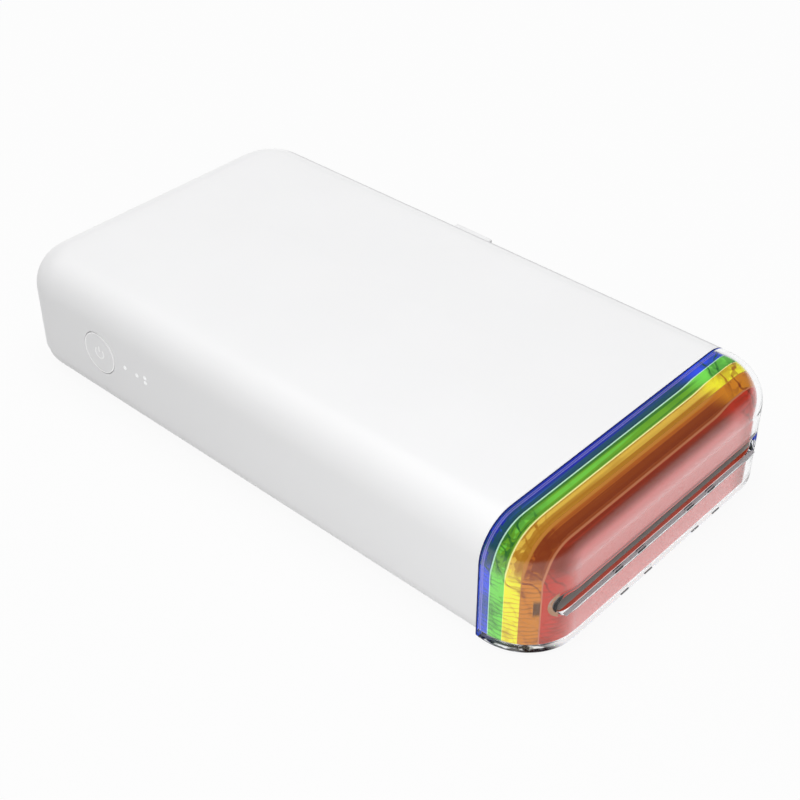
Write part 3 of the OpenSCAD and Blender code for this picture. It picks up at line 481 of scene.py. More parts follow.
@dataclass(frozen=True)
class TintedAcrylic(Coating):
    """Cast acrylic, coloured through: streaked over the top and rippled at its two ends.

    The clear cap bends what is seen through it, and the colours allow for that: a plate shows over
    and deep on the roll as painted shade, before where the plate behind it shows through, and a
    pale line at its rear joint as a painted highlight. Each plate also emits its own colour as
    painted light; the red one has a painted sheen on its flat front and warmer painted light along
    the slot, the orange one painted shade at the slot's ends, and the blue one painted shade
    behind its rear joint.
    """

    # over: darker colour over the roof, as painted shade.
    over: Colour
    # deep: darker colour of random clouds and end ripples, and deeper painted shade on the roof.
    deep: Colour
    # joint_glint: pale line at the rear joint, a painted highlight.
    joint_glint: Colour
    rear_x: float
    middle_x: float
    # rim: painted shade behind the rear joint.
    rim: Colour | None = None
    before: Colour | None = None
    # Paler colour on the flat front: painted sheen.
    painted_sheen: Colour | None = None
    # Warmer colour emitted along the slot in front: painted light.
    glow_and_painted_light: Colour | None = None
    # Where the painted shade of the slot's end starts.
    slot_shade_x: float = 0.0
    # Strength of the emission of the plate's colour: painted light.
    painted_glow: float = 0.28
    shift: float = 0.4 * MM
    # Width of the painted highlight line at the rear joint.
    line: float = 0.14 * MM
    joint_shade_gap: float = 0.3 * MM
    ripple: float = 0.05 * MM
    roof_z: Span = (16.5 * MM, 20.5 * MM)
    roof_y: Span = (17 * MM, 25 * MM)
    middle_y: float = -2 * MM
    end_y: Span = (25 * MM, 30 * MM)
    sheen_y: Span = (24 * MM, 30 * MM)
    sheen_z: Span = (20.3 * MM, 22.2 * MM)
    sheen_rise_z: Span = (15 * MM, 19 * MM)
    sheen_foot_z: float = 8.6 * MM
    slot_shade_z: Span = (1.0 * MM, 2.4 * MM)
    # Colour of the painted shade at the slot's ends.
    lens: Colour = (0.08, 0.03, 0.01)
    amber: Colour = (0.4, 0.16, 0.02)
    amber_y: Span = (33.8 * MM, 4.6 * MM)  # middle and half width
    amber_z: float = 3.4 * MM
    painted_glow_z: float = 2.48 * MM
    fine: Ripple = Ripple("Z", 0.3 / MM, 6.0, (0.66, 0.95), (0.34, 0.5))
    broad: Ripple = Ripple("DIAGONAL", 0.16 / MM, 8.0, (0.86, 0.97), (0.3, 0.44))
    broad_z: Span = (13 * MM, 17 * MM)

    def inputs(self, graph: Graph) -> dict:
        """The inputs of the Principled BSDF."""
        x, y, z = (graph.axis(letter) for letter in "XYZ")
        level = abs(z - SLOT_Z)
        roof = z.smooth(*self.roof_z) * (1.0 - y.smooth(*self.roof_y))
        side = abs(y - self.middle_y)
        ends = side.smooth(*self.end_y)
        cloud = graph.noise(5 * MM, 3.0, (1.0, 0.6, 1.0))
        streak = graph.noise(1.1 * MM, 1.0, (1.0, 0.012, 0.8))
        broad = 0.2 + 0.5 * z.smooth(*self.broad_z)
        marks = self.fine.mark(graph, cloud) * 0.42 + self.broad.mark(graph, cloud) * broad
        # Painted shade over the roof, streaked and deeper in front; then random clouds and end
        # ripples.
        body = graph.coats(
            self.colour,
            (roof, self.over),
            ((x > self.middle_x) * roof * 0.85, self.deep),
            (streak.smooth(0.52, 0.62) * roof * 0.8, self.deep),
            ((1.0 - streak.smooth(0.34, 0.39)) * roof * 0.5, self.colour),
            (cloud.smooth(0.5, 0.68) * (0.25 + ends * 0.3), self.deep),
            (marks * ends, self.deep),
        )
        # Painted shade: the slot's dark end, seen at the plate's ends.
        if self.slot_shade_x:
            spot = (1.0 - level.smooth(*self.slot_shade_z)) * ends * (x > self.slot_shade_x)
            body = graph.mix(spot * 0.9, body, self.lens)
        # Painted sheen on the flat front, strongest high up and below the slot.
        if self.painted_sheen:
            front = (1.0 - side.smooth(*self.sheen_y)) * (1.0 - z.smooth(*self.sheen_z))
            share = 0.45 + 0.45 * z.smooth(*self.sheen_rise_z) + 0.4 * (z < self.sheen_foot_z)
            body = graph.mix(front * share, body, self.painted_sheen)
        start = self.rear_x
        if self.before:
            start = roof * self.shift + self.rear_x
            body = graph.mix(x < start, body, self.before)
        # The pale line at the rear joint is a painted highlight.
        body = graph.mix((abs(x - start) < self.line) * 0.75, body, self.joint_glint)
        # Painted shade behind the rear joint, and amber beside the slot's ends.
        if self.rim:
            middle, half = self.amber_y
            beside = (abs(abs(y) - middle) < half) * (level < self.amber_z)
            behind = x < self.rear_x - self.joint_shade_gap
            body = graph.coats(body, (behind, self.rim), (beside, self.amber))
        # The plate emits its colour, and a warmer one along the slot in front: painted light.
        painted_glow_colour = body
        if self.glow_and_painted_light:
            painted_glow_colour = graph.mix((level < self.painted_glow_z) * (x > self.middle_x), body, self.glow_and_painted_light)
        return {
            "Base Color": body,
            "Roughness": cloud * 0.1 + 0.12,
            "Normal": graph.bump(cloud, self.ripple),
            "Specular IOR Level": 0.1,
            "Emission Color": painted_glow_colour,
            "Emission Strength": self.painted_glow,
        }


@dataclass(frozen=True)
class Lining(Coating):
    """Satin grey plastic, with the colours of the plates showing at its two ends."""

    bands: tuple[tuple[float, Colour], ...]
    near: Colour = (0.5, 0.2, 0.03)
    end_y: float = 31.2 * MM

    def inputs(self, graph: Graph) -> dict:
        """The inputs of the Principled BSDF."""
        x, y = graph.axis("X"), graph.axis("Y")
        bands = ((x > place, colour) for place, colour in self.bands)
        tint = graph.coats(self.colour, *bands, (y < 0.0, self.near))
        cloud = graph.noise(3 * MM)
        ends = (abs(y) > self.end_y) * cloud.smooth(0.3, 0.45)
        return {
            "Base Color": graph.mix(ends * 0.85, self.colour, tint),
            "Roughness": cloud * 0.1 + 0.32,
            "Normal": graph.bump(graph.noise(GRAIN), GRAIN_DEPTH),
        }


@dataclass(frozen=True)
class Metal(Coating):
    """Bare metal with fine drawn or turned marks along one axis."""

    roughness: float = 0.28
    along: Point = (0.05, 1.0, 1.0)
    uneven: float = 0.18
    wear: float = 0.82

    def inputs(self, graph: Graph) -> dict:
        """The inputs of the Principled BSDF."""
        marks = graph.noise(0.25 * MM, 2.0, self.along)
        worn = tuple(part * self.wear for part in self.colour)
        return {
            "Base Color": graph.mix(graph.noise(6 * MM).smooth(0.4, 0.7), self.colour, worn),
            "Metallic": 1.0,
            "Roughness": marks * self.uneven + self.roughness - self.uneven / 2,
            "Normal": graph.bump(marks, 0.004 * MM),
        }


@dataclass(frozen=True)
class Rubber(Coating):
    """Ground rubber, dull and slightly dusty."""

    dust: float = 0.06

    def inputs(self, graph: Graph) -> dict:
        """The inputs of the Principled BSDF."""
        grit = graph.noise(0.18 * MM, 3.0)
        cloud = graph.noise(4 * MM, 3.0)
        dusty = tuple(part + self.dust for part in self.colour)
        return {
            "Base Color": graph.mix(cloud.smooth(0.5, 0.75), self.colour, dusty),
            "Roughness": grit * 0.15 + 0.72,
            "Normal": graph.bump(grit, LINE_DEPTH),
        }


@dataclass(frozen=True)
class SolderMask(Coating):
    """A circuit board: copper tracks under solder mask, with bright pads."""

    track: Colour = (0.03, 0.23, 0.09)
    pad: Colour = (0.72, 0.68, 0.5)
    pitch: float = 1.6 * MM
    track_w: float = 0.05
    pad_r: float = 0.16

    def inputs(self, graph: Graph) -> dict:
        """The inputs of the Principled BSDF."""
        cells = {"Vector": graph.place(), "Scale": 1 / self.pitch, "Randomness": 0.35}
        kind = {"distance": "CHEBYCHEV", "feature": "F1"}
        spots = graph.node("ShaderNodeTexVoronoi", kind, cells)
        lanes = graph.noise(self.pitch, 0.0, (1.0, 0.12, 1.0))
        copper = abs(lanes - 0.5) < self.track_w
        pads = spots < self.pad_r
        return {
            "Base Color": graph.coats(self.colour, (copper, self.track), (pads, self.pad)),
            "Roughness": 0.42 - copper * 0.1,
            "Normal": graph.bump(copper, LINE_DEPTH),
        }


@dataclass(frozen=True)
class Layered(Coating):
    """Stacked sheets or wound film: thin lines across one axis."""

    line: Colour
    pitch: float = 0.24 * MM
    roughness: float = 0.5
    axis: Point = (0.0, 0.0, 1.0)
    uneven: float = 0.1

    def inputs(self, graph: Graph) -> dict:
        """The inputs of the Principled BSDF."""
        layers = graph.noise(self.pitch, 1.0, self.axis)
        return {
            "Base Color": graph.mix(layers.smooth(0.45, 0.62), self.colour, self.line),
            "Roughness": layers * self.uneven + self.roughness - self.uneven / 2,
            "Normal": graph.bump(layers, LINE_DEPTH),
        }


class Finish(Enum):
    """Every finish on the printer."""

    SHELL = Moulded("white_moulding", (0.9, 0.9, 0.905), 0.36, 0.004, edge=PaintedFarShade())
    CASE = Moulded("white_case", (0.88, 0.88, 0.885), drift=0.006)
    CLEAR = ClearAcrylic("clear_acrylic", (0.985, 0.99, 1.0))
    # Blue: rim is painted shade behind its rear joint.
    BLUE = TintedAcrylic(
        "cast_blue_acrylic", (0.03, 0.08, 0.78), (0.012, 0.022, 0.4), (0.012, 0.075, 0.09),
        (0.25, 0.24, 0.75), 61.75 * MM, 62.3 * MM, rim=(0.01, 0.014, 0.11),
    )
    GREEN = TintedAcrylic(
        "cast_green_acrylic", (0.18, 0.7, 0.08), (0.13, 0.36, 0.018), (0.02, 0.13, 0.02),
        (0.6, 0.92, 0.72), 63.25 * MM, 65.9 * MM, before=(0.01, 0.06, 0.09),
    )
    YELLOW = TintedAcrylic(
        "cast_yellow_acrylic", (0.92, 0.86, 0.03), (0.72, 0.46, 0.06), (0.4, 0.16, 0.01),
        (0.95, 0.95, 0.4), 65.95 * MM, 67.9 * MM, before=(0.12, 0.32, 0.018),
    )
    ORANGE = TintedAcrylic(
        "cast_orange_acrylic", (0.6, 0.21, 0.012), (0.4, 0.1, 0.012), (0.22, 0.035, 0.005),
        (0.5, 0.2, 0.03), 68.65 * MM, 69.8 * MM, before=(0.5, 0.2, 0.03), slot_shade_x=70.5 * MM,
    )
    # Red: painted sheen on the flat front and painted light along the slot.
    RED = TintedAcrylic(
        "cast_red_acrylic", (0.54, 0.035, 0.014), (0.34, 0.034, 0.012), (0.22, 0.025, 0.007),
        (0.55, 0.22, 0.1), 71.35 * MM, 72.5 * MM, before=(0.3, 0.06, 0.012),
        painted_sheen=(0.72, 0.2, 0.185), glow_and_painted_light=(0.3, 0.08, 0.04),
    )
    LINER = Lining(
        "liner_moulding", (0.5, 0.5, 0.48),
        (
            (60.5 * MM, (0.05, 0.08, 0.4)),
            (63.2 * MM, (0.06, 0.25, 0.2)),
            (65.9 * MM, (0.6, 0.55, 0.2)),
            (68.6 * MM, (0.5, 0.22, 0.03)),
            (71.3 * MM, (0.3, 0.12, 0.04)),
        ),
    )
    # The power marks' emission is a painted highlight.
    MARK = Moulded("white_mark", (0.95, 0.95, 0.95), 0.3, glow_and_painted_light=0.12)
    # Grey of the sill ribs, and of the sheet that paints shade on the slot's glass floor.
    SILL = Moulded("sill_grey_and_painted_shade", (0.58, 0.56, 0.58), 0.3)
    # Dark bars at the ribs' ends, and the ribs' painted reflections.
    GASKET = Moulded("dark_ticks", (0.03, 0.03, 0.035), 0.4)
    DARK = Moulded("dark_moulding", (0.045, 0.045, 0.05), 0.45)
    GREY = Moulded("grey_moulding", (0.2, 0.215, 0.24), 0.5)
    NATURAL = Moulded("natural_acetal", (0.82, 0.79, 0.68), 0.3)
    LENS = Moulded("frosted_light_pipe", (0.9, 0.91, 0.92), 0.25, glow_and_painted_light=0.25)
    STEEL = Metal("ground_steel", (0.62, 0.63, 0.65))
    SHEET = Metal("rolled_sheet", (0.66, 0.67, 0.68), 0.36, (1.0, 0.04, 1.0))
    ALUMINIUM = Metal("extruded_aluminium", (0.8, 0.81, 0.83), 0.38, (1.0, 0.03, 1.0))
    BRASS = Metal("turned_brass", (0.78, 0.58, 0.26), 0.24)
    ZINC = Metal("zinc_plate", (0.55, 0.56, 0.6), 0.3, EVEN)
    BLACK_RUBBER = Rubber("black_rubber", (0.02, 0.02, 0.022))
    GREY_RUBBER = Rubber("grey_rubber", (0.16, 0.16, 0.165))
    BOARD = SolderMask("solder_mask", (0.015, 0.13, 0.05))
    FOIL = Metal("pouch_laminate", (0.5, 0.53, 0.56), 0.42, EVEN)
    PAPER = Layered("photo_paper", (0.93, 0.92, 0.9), (0.7, 0.7, 0.72))
    RIBBON = Layered(
        "dyed_ribbon", (0.05, 0.01, 0.06), (0.12, 0.03, 0.13), 0.1 * MM, 0.2, (1.0, 0.0, 1.0)
    )
    CERAMIC = Moulded("glazed_ceramic", (0.78, 0.75, 0.68), 0.18)

    def paint(self, piece: Piece) -> None:
        """Gives a piece this finish all over.

        Args:
            piece: The piece to dress.
        """
        material = bpy.data.materials.get(self.value.name) or self.value.material()
        if piece.material_slots:
            for slot in piece.material_slots:
                slot.material = material
        else:
            piece.data.materials.append(material)


# ---- bench tools: Blender's modelling operators, used one step at a time as by hand


def clear() -> None:
    """Leaves edit mode and deselects everything."""
    if bpy.context.object and bpy.context.object.mode != "OBJECT":
        bpy.ops.object.mode_set(mode="OBJECT")
    bpy.ops.object.select_all(action="DESELECT")


def take(piece: Piece) -> None:
    """Selects one piece alone.

    Args:
        piece: The piece to work on.
    """
    clear()
    piece.select_set(True)
    bpy.context.view_layer.objects.active = piece


def block(name: str, low: Iterable[float], high: Iterable[float]) -> Piece:
    """Adds a cube as a start.

    Args:
        name: The piece's name.
        low: Its lowest corner.
        high: Its highest corner.

    Returns:
        The block.
    """
    low, high = Vector(low), Vector(high)
    clear()
    bpy.ops.mesh.primitive_cube_add(size=1, location=(low + high) / 2, scale=high - low)
    return settle(name)


def rod(name: str, start: Point, end: Point, radius: float, sides: int) -> Piece:
    """Adds a cylinder as a start.

    Args:
        name: The piece's name.
        start: Middle of its first end.
        end: Middle of its other end.
        radius: Its radius.
        sides: How many sides it has.

    Returns:
        The cylinder.
    """
    first, last = Vector(start), Vector(end)
    turn = (last - first).to_track_quat("Z", "Y").to_euler()
    clear()
    bpy.ops.mesh.primitive_cylinder_add(
        vertices=sides,
        radius=radius,
        depth=(last - first).length,
        location=(first + last) / 2,
        rotation=turn,
    )
    return settle(name)


def settle(name: str) -> Piece:
    """Names the piece that was just added and moves its place into its mesh.

    Args:
        name: The piece's name.

    Returns:
        The piece.
    """
    piece = bpy.context.object
    piece.name = name
    take(piece)
    bpy.ops.object.transform_apply(location=True, rotation=True, scale=True)
    return piece


def edit(piece: Piece, mode: str, action: str = "DESELECT") -> bmesh.types.BMesh:
    """Opens a piece in edit mode with nothing selected, or with everything.

    Args:
        piece: The piece to edit.
        mode: VERT, EDGE or FACE.
        action: DESELECT or SELECT.

    Returns:
        The mesh being edited.
    """
    take(piece)
    bpy.ops.object.mode_set(mode="EDIT")
    bpy.ops.mesh.select_mode(type=mode)
    bpy.ops.mesh.select_all(action=action)
    return bmesh.from_edit_mesh(piece.data)


def pick(piece: Piece, kind: str, test: Callable) -> int:
    """Opens a piece in edit mode and selects some of its edges or faces.

    Args:
        piece: The piece to edit.
        kind: EDGE or FACE.
        test: Says whether an edge or a face is wanted.

    Returns:
        How many were selected.
    """
    mesh = edit(piece, kind)
    parts = mesh.edges if kind == "EDGE" else mesh.faces
    wanted = [part for part in parts if test(part)]
    for part in wanted:
        part.select_set(True)
    bmesh.update_edit_mesh(piece.data)
    return len(wanted)


def bevel(piece: Piece, test: Callable, width: float, segments: int) -> None:
    """Rounds the chosen edges.

    Args:
        piece: The piece to edit.
        test: Says whether an edge is rounded.
        width: Radius of the round.
        segments: How many faces each round has.
    """
    if pick(piece, "EDGE", test):
        bpy.ops.mesh.bevel(offset=width, segments=segments, affect="EDGES", clamp_overlap=False)
    clear()


def weld(piece: Piece) -> None:
    """Merges a piece's doubled vertices and turns its faces outwards.

    Args:
        piece: The closed piece to weld.
    """
    edit(piece, "VERT", "SELECT")
    bpy.ops.mesh.remove_doubles(threshold=WELD_GAP)
    bpy.ops.mesh.dissolve_degenerate(threshold=WELD_GAP)
    bpy.ops.mesh.select_all(action="SELECT")
    bpy.ops.mesh.normals_make_consistent(inside=False)
    clear()


def close(piece: Piece) -> None:
    """Fills a piece's open ends.

    Args:
        piece: The piece to close.
    """
    edit(piece, "EDGE")
    bpy.ops.mesh.select_non_manifold()
    bpy.ops.mesh.edge_face_add()
    weld(piece)


def modify(piece: Piece, kind: str, **settings: object) -> None:
    """Adds a modifier and applies it.

    Args:
        piece: The piece to change.
        kind: The modifier's type.
        settings: The modifier's settings.
    """
    take(piece)
    made = piece.modifiers.new(kind.lower(), kind)
    for name, value in settings.items():
        setattr(made, name, value)
    bpy.ops.object.modifier_apply(modifier=made.name)


def cut(piece: Piece, tool: Piece, operation: str = "DIFFERENCE") -> None:
    """Joins or cuts a piece with another, which is used up.

    Args:
        piece: The piece to change.
        tool: The cutting piece.
        operation: DIFFERENCE, UNION or INTERSECT.
    """
    modify(piece, "BOOLEAN", object=tool, operation=operation, solver="MANIFOLD")
    bpy.data.objects.remove(tool)
    weld(piece)


def smooth(piece: Piece, angle: float = SOFT_ANGLE) -> None:
    """Shades a piece smooth, apart from its sharp edges.

    Args:
        piece: The piece to shade.
        angle: Edges sharper than this many degrees stay crisp.
    """
    take(piece)
    bpy.ops.object.shade_smooth_by_angle(angle=math.radians(angle))


def even(piece: Piece) -> None:
    """Shades a piece smooth and keeps its large flat faces flat.

    Args:
        piece: The piece to shade.
    """
    smooth(piece)
    modify(piece, "WEIGHTED_NORMAL", mode="FACE_AREA", weight=90, keep_sharp=True)


def crisp(piece: Piece, width: float) -> None:
    """Breaks every sharp edge of a piece with a small round.

    Args:
        piece: The piece to finish.
        width: Radius of the round.
    """
    modify(
        piece,
        "BEVEL",
        width=width,
        segments=2,
        limit_method="ANGLE",
        angle_limit=math.radians(BREAK_ANGLE),
        use_clamp_overlap=True,
    )
    even(piece)


def copy_of(node: str, name: str) -> Piece:
    """Copies a CAD node as one welded mesh.

    Args:
        node: The CAD node.
        name: The new piece's name.

    Returns:
        The copy, with no parent.
    """
    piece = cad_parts[node].copy()
    piece.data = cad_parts[node].data.copy()
    piece.parent = None
    piece.name = name
    for key in list(piece.keys()):
        del piece[key]
    piece.data.materials.clear()
    bpy.context.scene.collection.objects.link(piece)
    edit(piece, "VERT", "SELECT")
    bpy.ops.mesh.remove_doubles(threshold=2 * WELD_GAP)
    bpy.ops.mesh.customdata_custom_splitnormals_clear()
    clear()
    return piece


def deliver(piece: Piece, body: str, finish: Finish, slot: str, *nodes: str) -> None:
    """Dresses a finished piece and lets it ride on its body.

    Args:
        piece: The finished piece.
        body: The CAD body it moves with.
        finish: Its finish.
        slot: The record's material slot; not used.
        nodes: The CAD nodes that it stands for.
    """
    finish.paint(piece)
    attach(piece, body)
    if nodes:
        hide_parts(*nodes)
    log.info("%s rides on %s", piece.name, body)


# ---- housing


@dataclass
class ClearCap:
    """The clear front cap and the coloured plates inside it."""

    length: float = 13.9 * MM
    wall: float = 1.1 * MM
    gap: float = 0.1 * MM
    corner: float = 12 * MM
    top: float = 8.4 * MM
    base: float = 1 * MM
    half_width: float = 40 * MM
    low_z: float = 0.25 * MM
    high_z: float = 27 * MM
    front_x: float = 75 * MM
    behind: float = 60 * MM
    slot_w: float = 66 * MM
    slot_h: float = 4.9 * MM
    liner: float = 0.8 * MM
    liner_end: float = 73.05 * MM
    flange: float = 0.5 * MM
    edge: float = 0.22 * MM
    skin: float = 0.02 * MM
    sharp: float = 1.0
    steps: tuple[int, int, int] = (28, 18, 5)
    end_steps: int = 10
    rim_steps: int = 3

    def block(self, name: str, inset: float, base: float) -> Piece:
        """Models the rolled form of the printer's front, drawn in on every side.

        Args:
            name: The piece's name.
            inset: How far it is drawn in.
            base: Radius of its lower edge.

        Returns:
            The block, which reaches well behind the cap.
        """
        low = (self.front_x - self.behind, inset - self.half_width, self.low_z + inset)
        high = (self.front_x - inset, self.half_width - inset, self.high_z - inset)
        piece = block(name, low, high)

        def upright(edge: bmesh.types.BMEdge) -> bool:
            """Whether an edge is one of the two upright front corners."""
            a, b = (v.co for v in edge.verts)
            return abs(a.z - b.z) > NEAR and min(a.x, b.x) > high[0] - NEAR

        def rim(z: float) -> Callable:
            """A test for the edges of the face at height z, apart from its rear edge."""
            return lambda edge: all(
                abs(v.co.z - z) < NEAR for v in edge.verts
            ) and max(v.co.x for v in edge.verts) > low[0] + NEAR

        corner_steps, top_steps, base_steps = self.steps
        bevel(piece, upright, self.corner - inset, corner_steps)
        bevel(piece, rim(high[2]), self.top - inset, top_steps)
        bevel(piece, rim(low[2]), base, base_steps)
        weld(piece)
        return piece

    def keep(self, piece: Piece, x0: float, x1: float) -> None:
        """Cuts a piece down to what lies between two X planes.

        Args:
            piece: The piece to cut.
            x0: The rear plane.
            x1: The front plane, left out where it is past the piece.
        """
        reach = max(corner[0] for corner in piece.bound_box)
        planes = [(x0, False)] + [(x1, True)] * (x1 < reach - 10 * NEAR)
        for x, outer in planes:
            edit(piece, "VERT", "SELECT")
            plane = {"plane_co": (x, 0, 0), "plane_no": (1, 0, 0)}
            bpy.ops.mesh.bisect(**plane, use_fill=True, clear_inner=not outer, clear_outer=outer)
        weld(piece)

    def slot_tool(self, x0: float, x1: float, grow: float) -> Piece:
        """Models the slot as a round-ended bar for cutting.

        Args:
            x0: Its rear end.
            x1: Its front end.
            grow: How much larger than the slot it is all round.

        Returns:
            The bar.
        """
        half_w, half_h = self.slot_w / 2 + grow, self.slot_h / 2 + grow
        bar = block(
            "slot_tool",
            (x0, -half_w, SLOT_Z - half_h),
            (x1, half_w, SLOT_Z + half_h),
        )
        bevel(
            bar,
            lambda edge: abs(edge.verts[0].co.x - edge.verts[1].co.x) > NEAR,
            half_h * 0.999,
            self.end_steps,
        )
        return bar

    def build(self) -> None:
        """Models the cap and the five plates."""
        joint = self.front_x - self.length
        far = self.front_x + 1 * MM
        cap = self.block("clear_cap", 0.0, self.base)
        self.keep(cap, joint + self.flange, far)
        hollow = self.block("hollow", self.wall, self.base)
        cut(cap, hollow)
        cut(cap, self.slot_tool(joint, far, 0.0))
        lip = self.slot_h / 2 + 10 * NEAR
        centre_x, centre_y = self.front_x - self.corner, self.half_width - self.corner

        def on_skin(place: Vector) -> bool:
            """Whether a place near the slot's height lies on the cap's outside."""
            out = math.hypot(max(0.0, place.x - centre_x), max(0.0, abs(place.y) - centre_y))
            return out > self.corner - self.skin and abs(place.z - SLOT_Z) < lip

        def slot_rim(edge: bmesh.types.BMEdge) -> bool:
            """Whether an edge runs round the mouth of the slot."""
            return all(on_skin(v.co) for v in edge.verts) and edge.calc_face_angle(0.0) > self.sharp

        bevel(cap, slot_rim, self.edge, self.rim_steps)
        even(cap)
        deliver(cap, "housing", Finish.CLEAR, "clear_cap", "front_cap")

        for colour in ("blue", "green", "yellow", "orange", "red"):
            self.plate(colour, joint, far)

    def plate(self, colour: str, joint: float, far: float) -> None:
        """Models one coloured plate.

        Args:
            colour: Its colour, as in the name of its node.
            joint: Where the cap meets the body.
            far: A place in front of the printer.
        """
        node, first, last = f"{colour}_plate", colour == "blue", colour == "red"
        low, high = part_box(node)
        plate = self.block(f"{node}_moulding", self.wall + self.gap, self.base)
        self.keep(plate, low.x, far if last else high.x)
        if first:
            flange = self.block("flange", self.edge / 8, self.base)
            self.keep(flange, joint, joint + self.flange - self.edge / 8)
            cut(plate, flange, "UNION")
        lined = self.liner_end if last else high.x + MM
        cut(plate, self.slot_tool(low.x - MM, lined, self.liner))
        if last:
            cut(plate, self.slot_tool(low.x - MM, far, 0.0))
        crisp(plate, self.edge / 3 if first else self.edge)
        deliver(plate, "housing", Finish[colour.upper()], f"{colour}_acrylic", node)


@dataclass
class PaperSlot:
    """The slot's grey lining, its ribbed sill, and the ribs' painted reflections under the cap."""

    cap: ClearCap = field(default_factory=ClearCap)
    rear_x: float = 58.6 * MM
    rib_x: Span = (74.2 * MM, 74.92 * MM)
    rib_y: tuple[float, ...] = (-15.39 * MM, -8.1 * MM, 8.1 * MM, 15.39 * MM)
    rib_w: float = 2.4 * MM
    rib_h: float = 0.28 * MM
    edge_w: float = 0.18 * MM
    # sill_x to sill_edge: the grey sheet that paints shade on the slot's glass floor.
    sill_x: Span = (73.98 * MM, 74.86 * MM)
    sill_y: float = 31.4 * MM
    sill_h: float = 0.03 * MM
    sill_edge: float = 0.02 * MM
    liner_edge: float = 0.06 * MM
    sunk: float = 0.05 * MM
    rib_inset: float = 0.1 * MM
    proud: float = 0.04 * MM
    # Dark marks in the cap's lower front wall: painted reflections of the sill ribs.
    rib_image_x: Span = (74.2 * MM, 74.6 * MM)
    rib_image_z: Span = (0.4 * MM, 0.7 * MM)
    rib_image_y: tuple[float, ...] = (-11.9 * MM, -4.2 * MM, 11.9 * MM, 19.3 * MM)

    def row(self, name: str, places: tuple[float, ...], x: Span, z: Span) -> Piece:
        """Models one small rounded bar and repeats it across the printer.

        Args:
            name: The piece's name.
            places: Where each bar's middle is across the printer.
            x: Rear and front of the bars.
            z: Bottom and top of the bars.

        Returns:
            The bars, as one piece.
        """
        half = self.rib_w / 2
        bars = []
        for y in places:
            bar = block(name, (x[0], y - half, z[0]), (x[1], y + half, z[1]))
            bevel(bar, lambda edge: True, min(x[1] - x[0], z[1] - z[0]) / 5, 2)
            bars.append(bar)
        clear()
        for bar in bars:
            bar.select_set(True)
        bpy.context.view_layer.objects.active = bars[0]
        bpy.ops.object.join()
        even(bars[0])
        return bars[0]

    def build(self) -> None:
        """Models the lining, ribbed sill, and ribs' painted reflections under the cap's front."""
        cap = self.cap
        liner = cap.slot_tool(self.rear_x, cap.liner_end, cap.liner)
        liner.name = "slot_liner_moulding"
        cut(liner, cap.slot_tool(self.rear_x - MM, cap.liner_end + MM, 0.0))
        cut(liner, cap.block("form", cap.wall + cap.gap * 1.5, cap.base), "INTERSECT")
        crisp(liner, self.liner_edge)
        deliver(liner, "housing", Finish.LINER, "dark_plastic", "slot_liner")
        sill = SLOT_Z - cap.slot_h / 2
        low, high = sill - self.sunk, sill + self.rib_h
        rear, front = self.rib_x
        inner = (rear + self.rib_inset, front - self.rib_inset)
        ribs = self.row("sill_ribs", self.rib_y, inner, (low, high))
        deliver(ribs, "housing", Finish.SILL, "grey_plastic")
        # A grey sheet laid into the clear wall at the slot's floor: painted shade on the glass.
        x0, x1 = self.sill_x
        top = sill + self.sill_h
        sheet = block("sill_shade_sheet", (x0, -self.sill_y, low), (x1, self.sill_y, top))
        bevel(sheet, lambda edge: True, self.sill_edge, 2)
        even(sheet)
        deliver(sheet, "housing", Finish.SILL, "grey_plastic")
        tall = (low, high + self.proud)
        # Dark bars at each rib's ends, and the ribs' painted reflections under the cap.
        for name, places, x, z in (
            ("sill_rib_backs", self.rib_y, (rear, rear + self.edge_w), tall),
            ("sill_rib_fronts", self.rib_y, (front - self.edge_w, front), tall),
            ("painted_rib_reflections", self.rib_image_y, self.rib_image_x, self.rib_image_z),
        ):
            deliver(self.row(name, places, x, z), "housing", Finish.GASKET, "dark_plastic")


@dataclass
class ButtonMarks:
    """The raised rim of the power button and the power sign inside it."""

    x: float = -46 * MM
    z: float = 13 * MM
    face_y: float = -40 * MM
    radius: float = 4.8 * MM
    sign: float = 1.35 * MM
    bead: float = 0.13 * MM
    bead_steps: tuple[int, int] = (72, 12)
    bar: Span = (0.2, 1.25)  # ends of the bar, in radii of the sign
    bar_sides: int = 16
    gap: float = 50.0

    def ring(self, name: str, radius: float, gap: float) -> Piece:
        """Models a round bead on the button's face.

        Args:
            name: The piece's name.
            radius: Radius of its middle line.
            gap: Half of the opening at its top, in degrees, or zero for a whole ring.

        Returns:
            The bead.
        """
        clear()
        bpy.ops.mesh.primitive_torus_add(
            major_radius=radius,
            minor_radius=self.bead,
            major_segments=self.bead_steps[0],
            minor_segments=self.bead_steps[1],
            location=(self.x, self.face_y + self.bead / 3, self.z),
            rotation=(math.radians(90), 0, 0),
        )
        piece = settle(name)
        if gap:
            limit = math.cos(math.radians(gap))

            def open_part(face: bmesh.types.BMFace) -> bool:
                """Whether a face lies in the opening."""
                spot = face.calc_center_median() - Vector((self.x, self.face_y, self.z))
                return spot.z > limit * math.hypot(spot.x, spot.z)

            pick(piece, "FACE", open_part)
            bpy.ops.mesh.delete(type="FACE")
            close(piece)
        even(piece)
        return piece

    def build(self) -> None:
        """Models the rim, the broken ring and the bar."""
        rim = self.ring("button_rim", self.radius, 0.0)
        ring = self.ring("power_ring", self.sign, self.gap)
        y = self.face_y + self.bead / 3
        low, top = ((self.x, y, self.z + self.sign * part) for part in self.bar)
        bar = rod("power_bar", low, top, self.bead, self.bar_sides)
        crisp(bar, self.bead / 3)
        for piece in (rim, ring, bar):
            deliver(piece, "button", Finish.MARK, "white_shell")


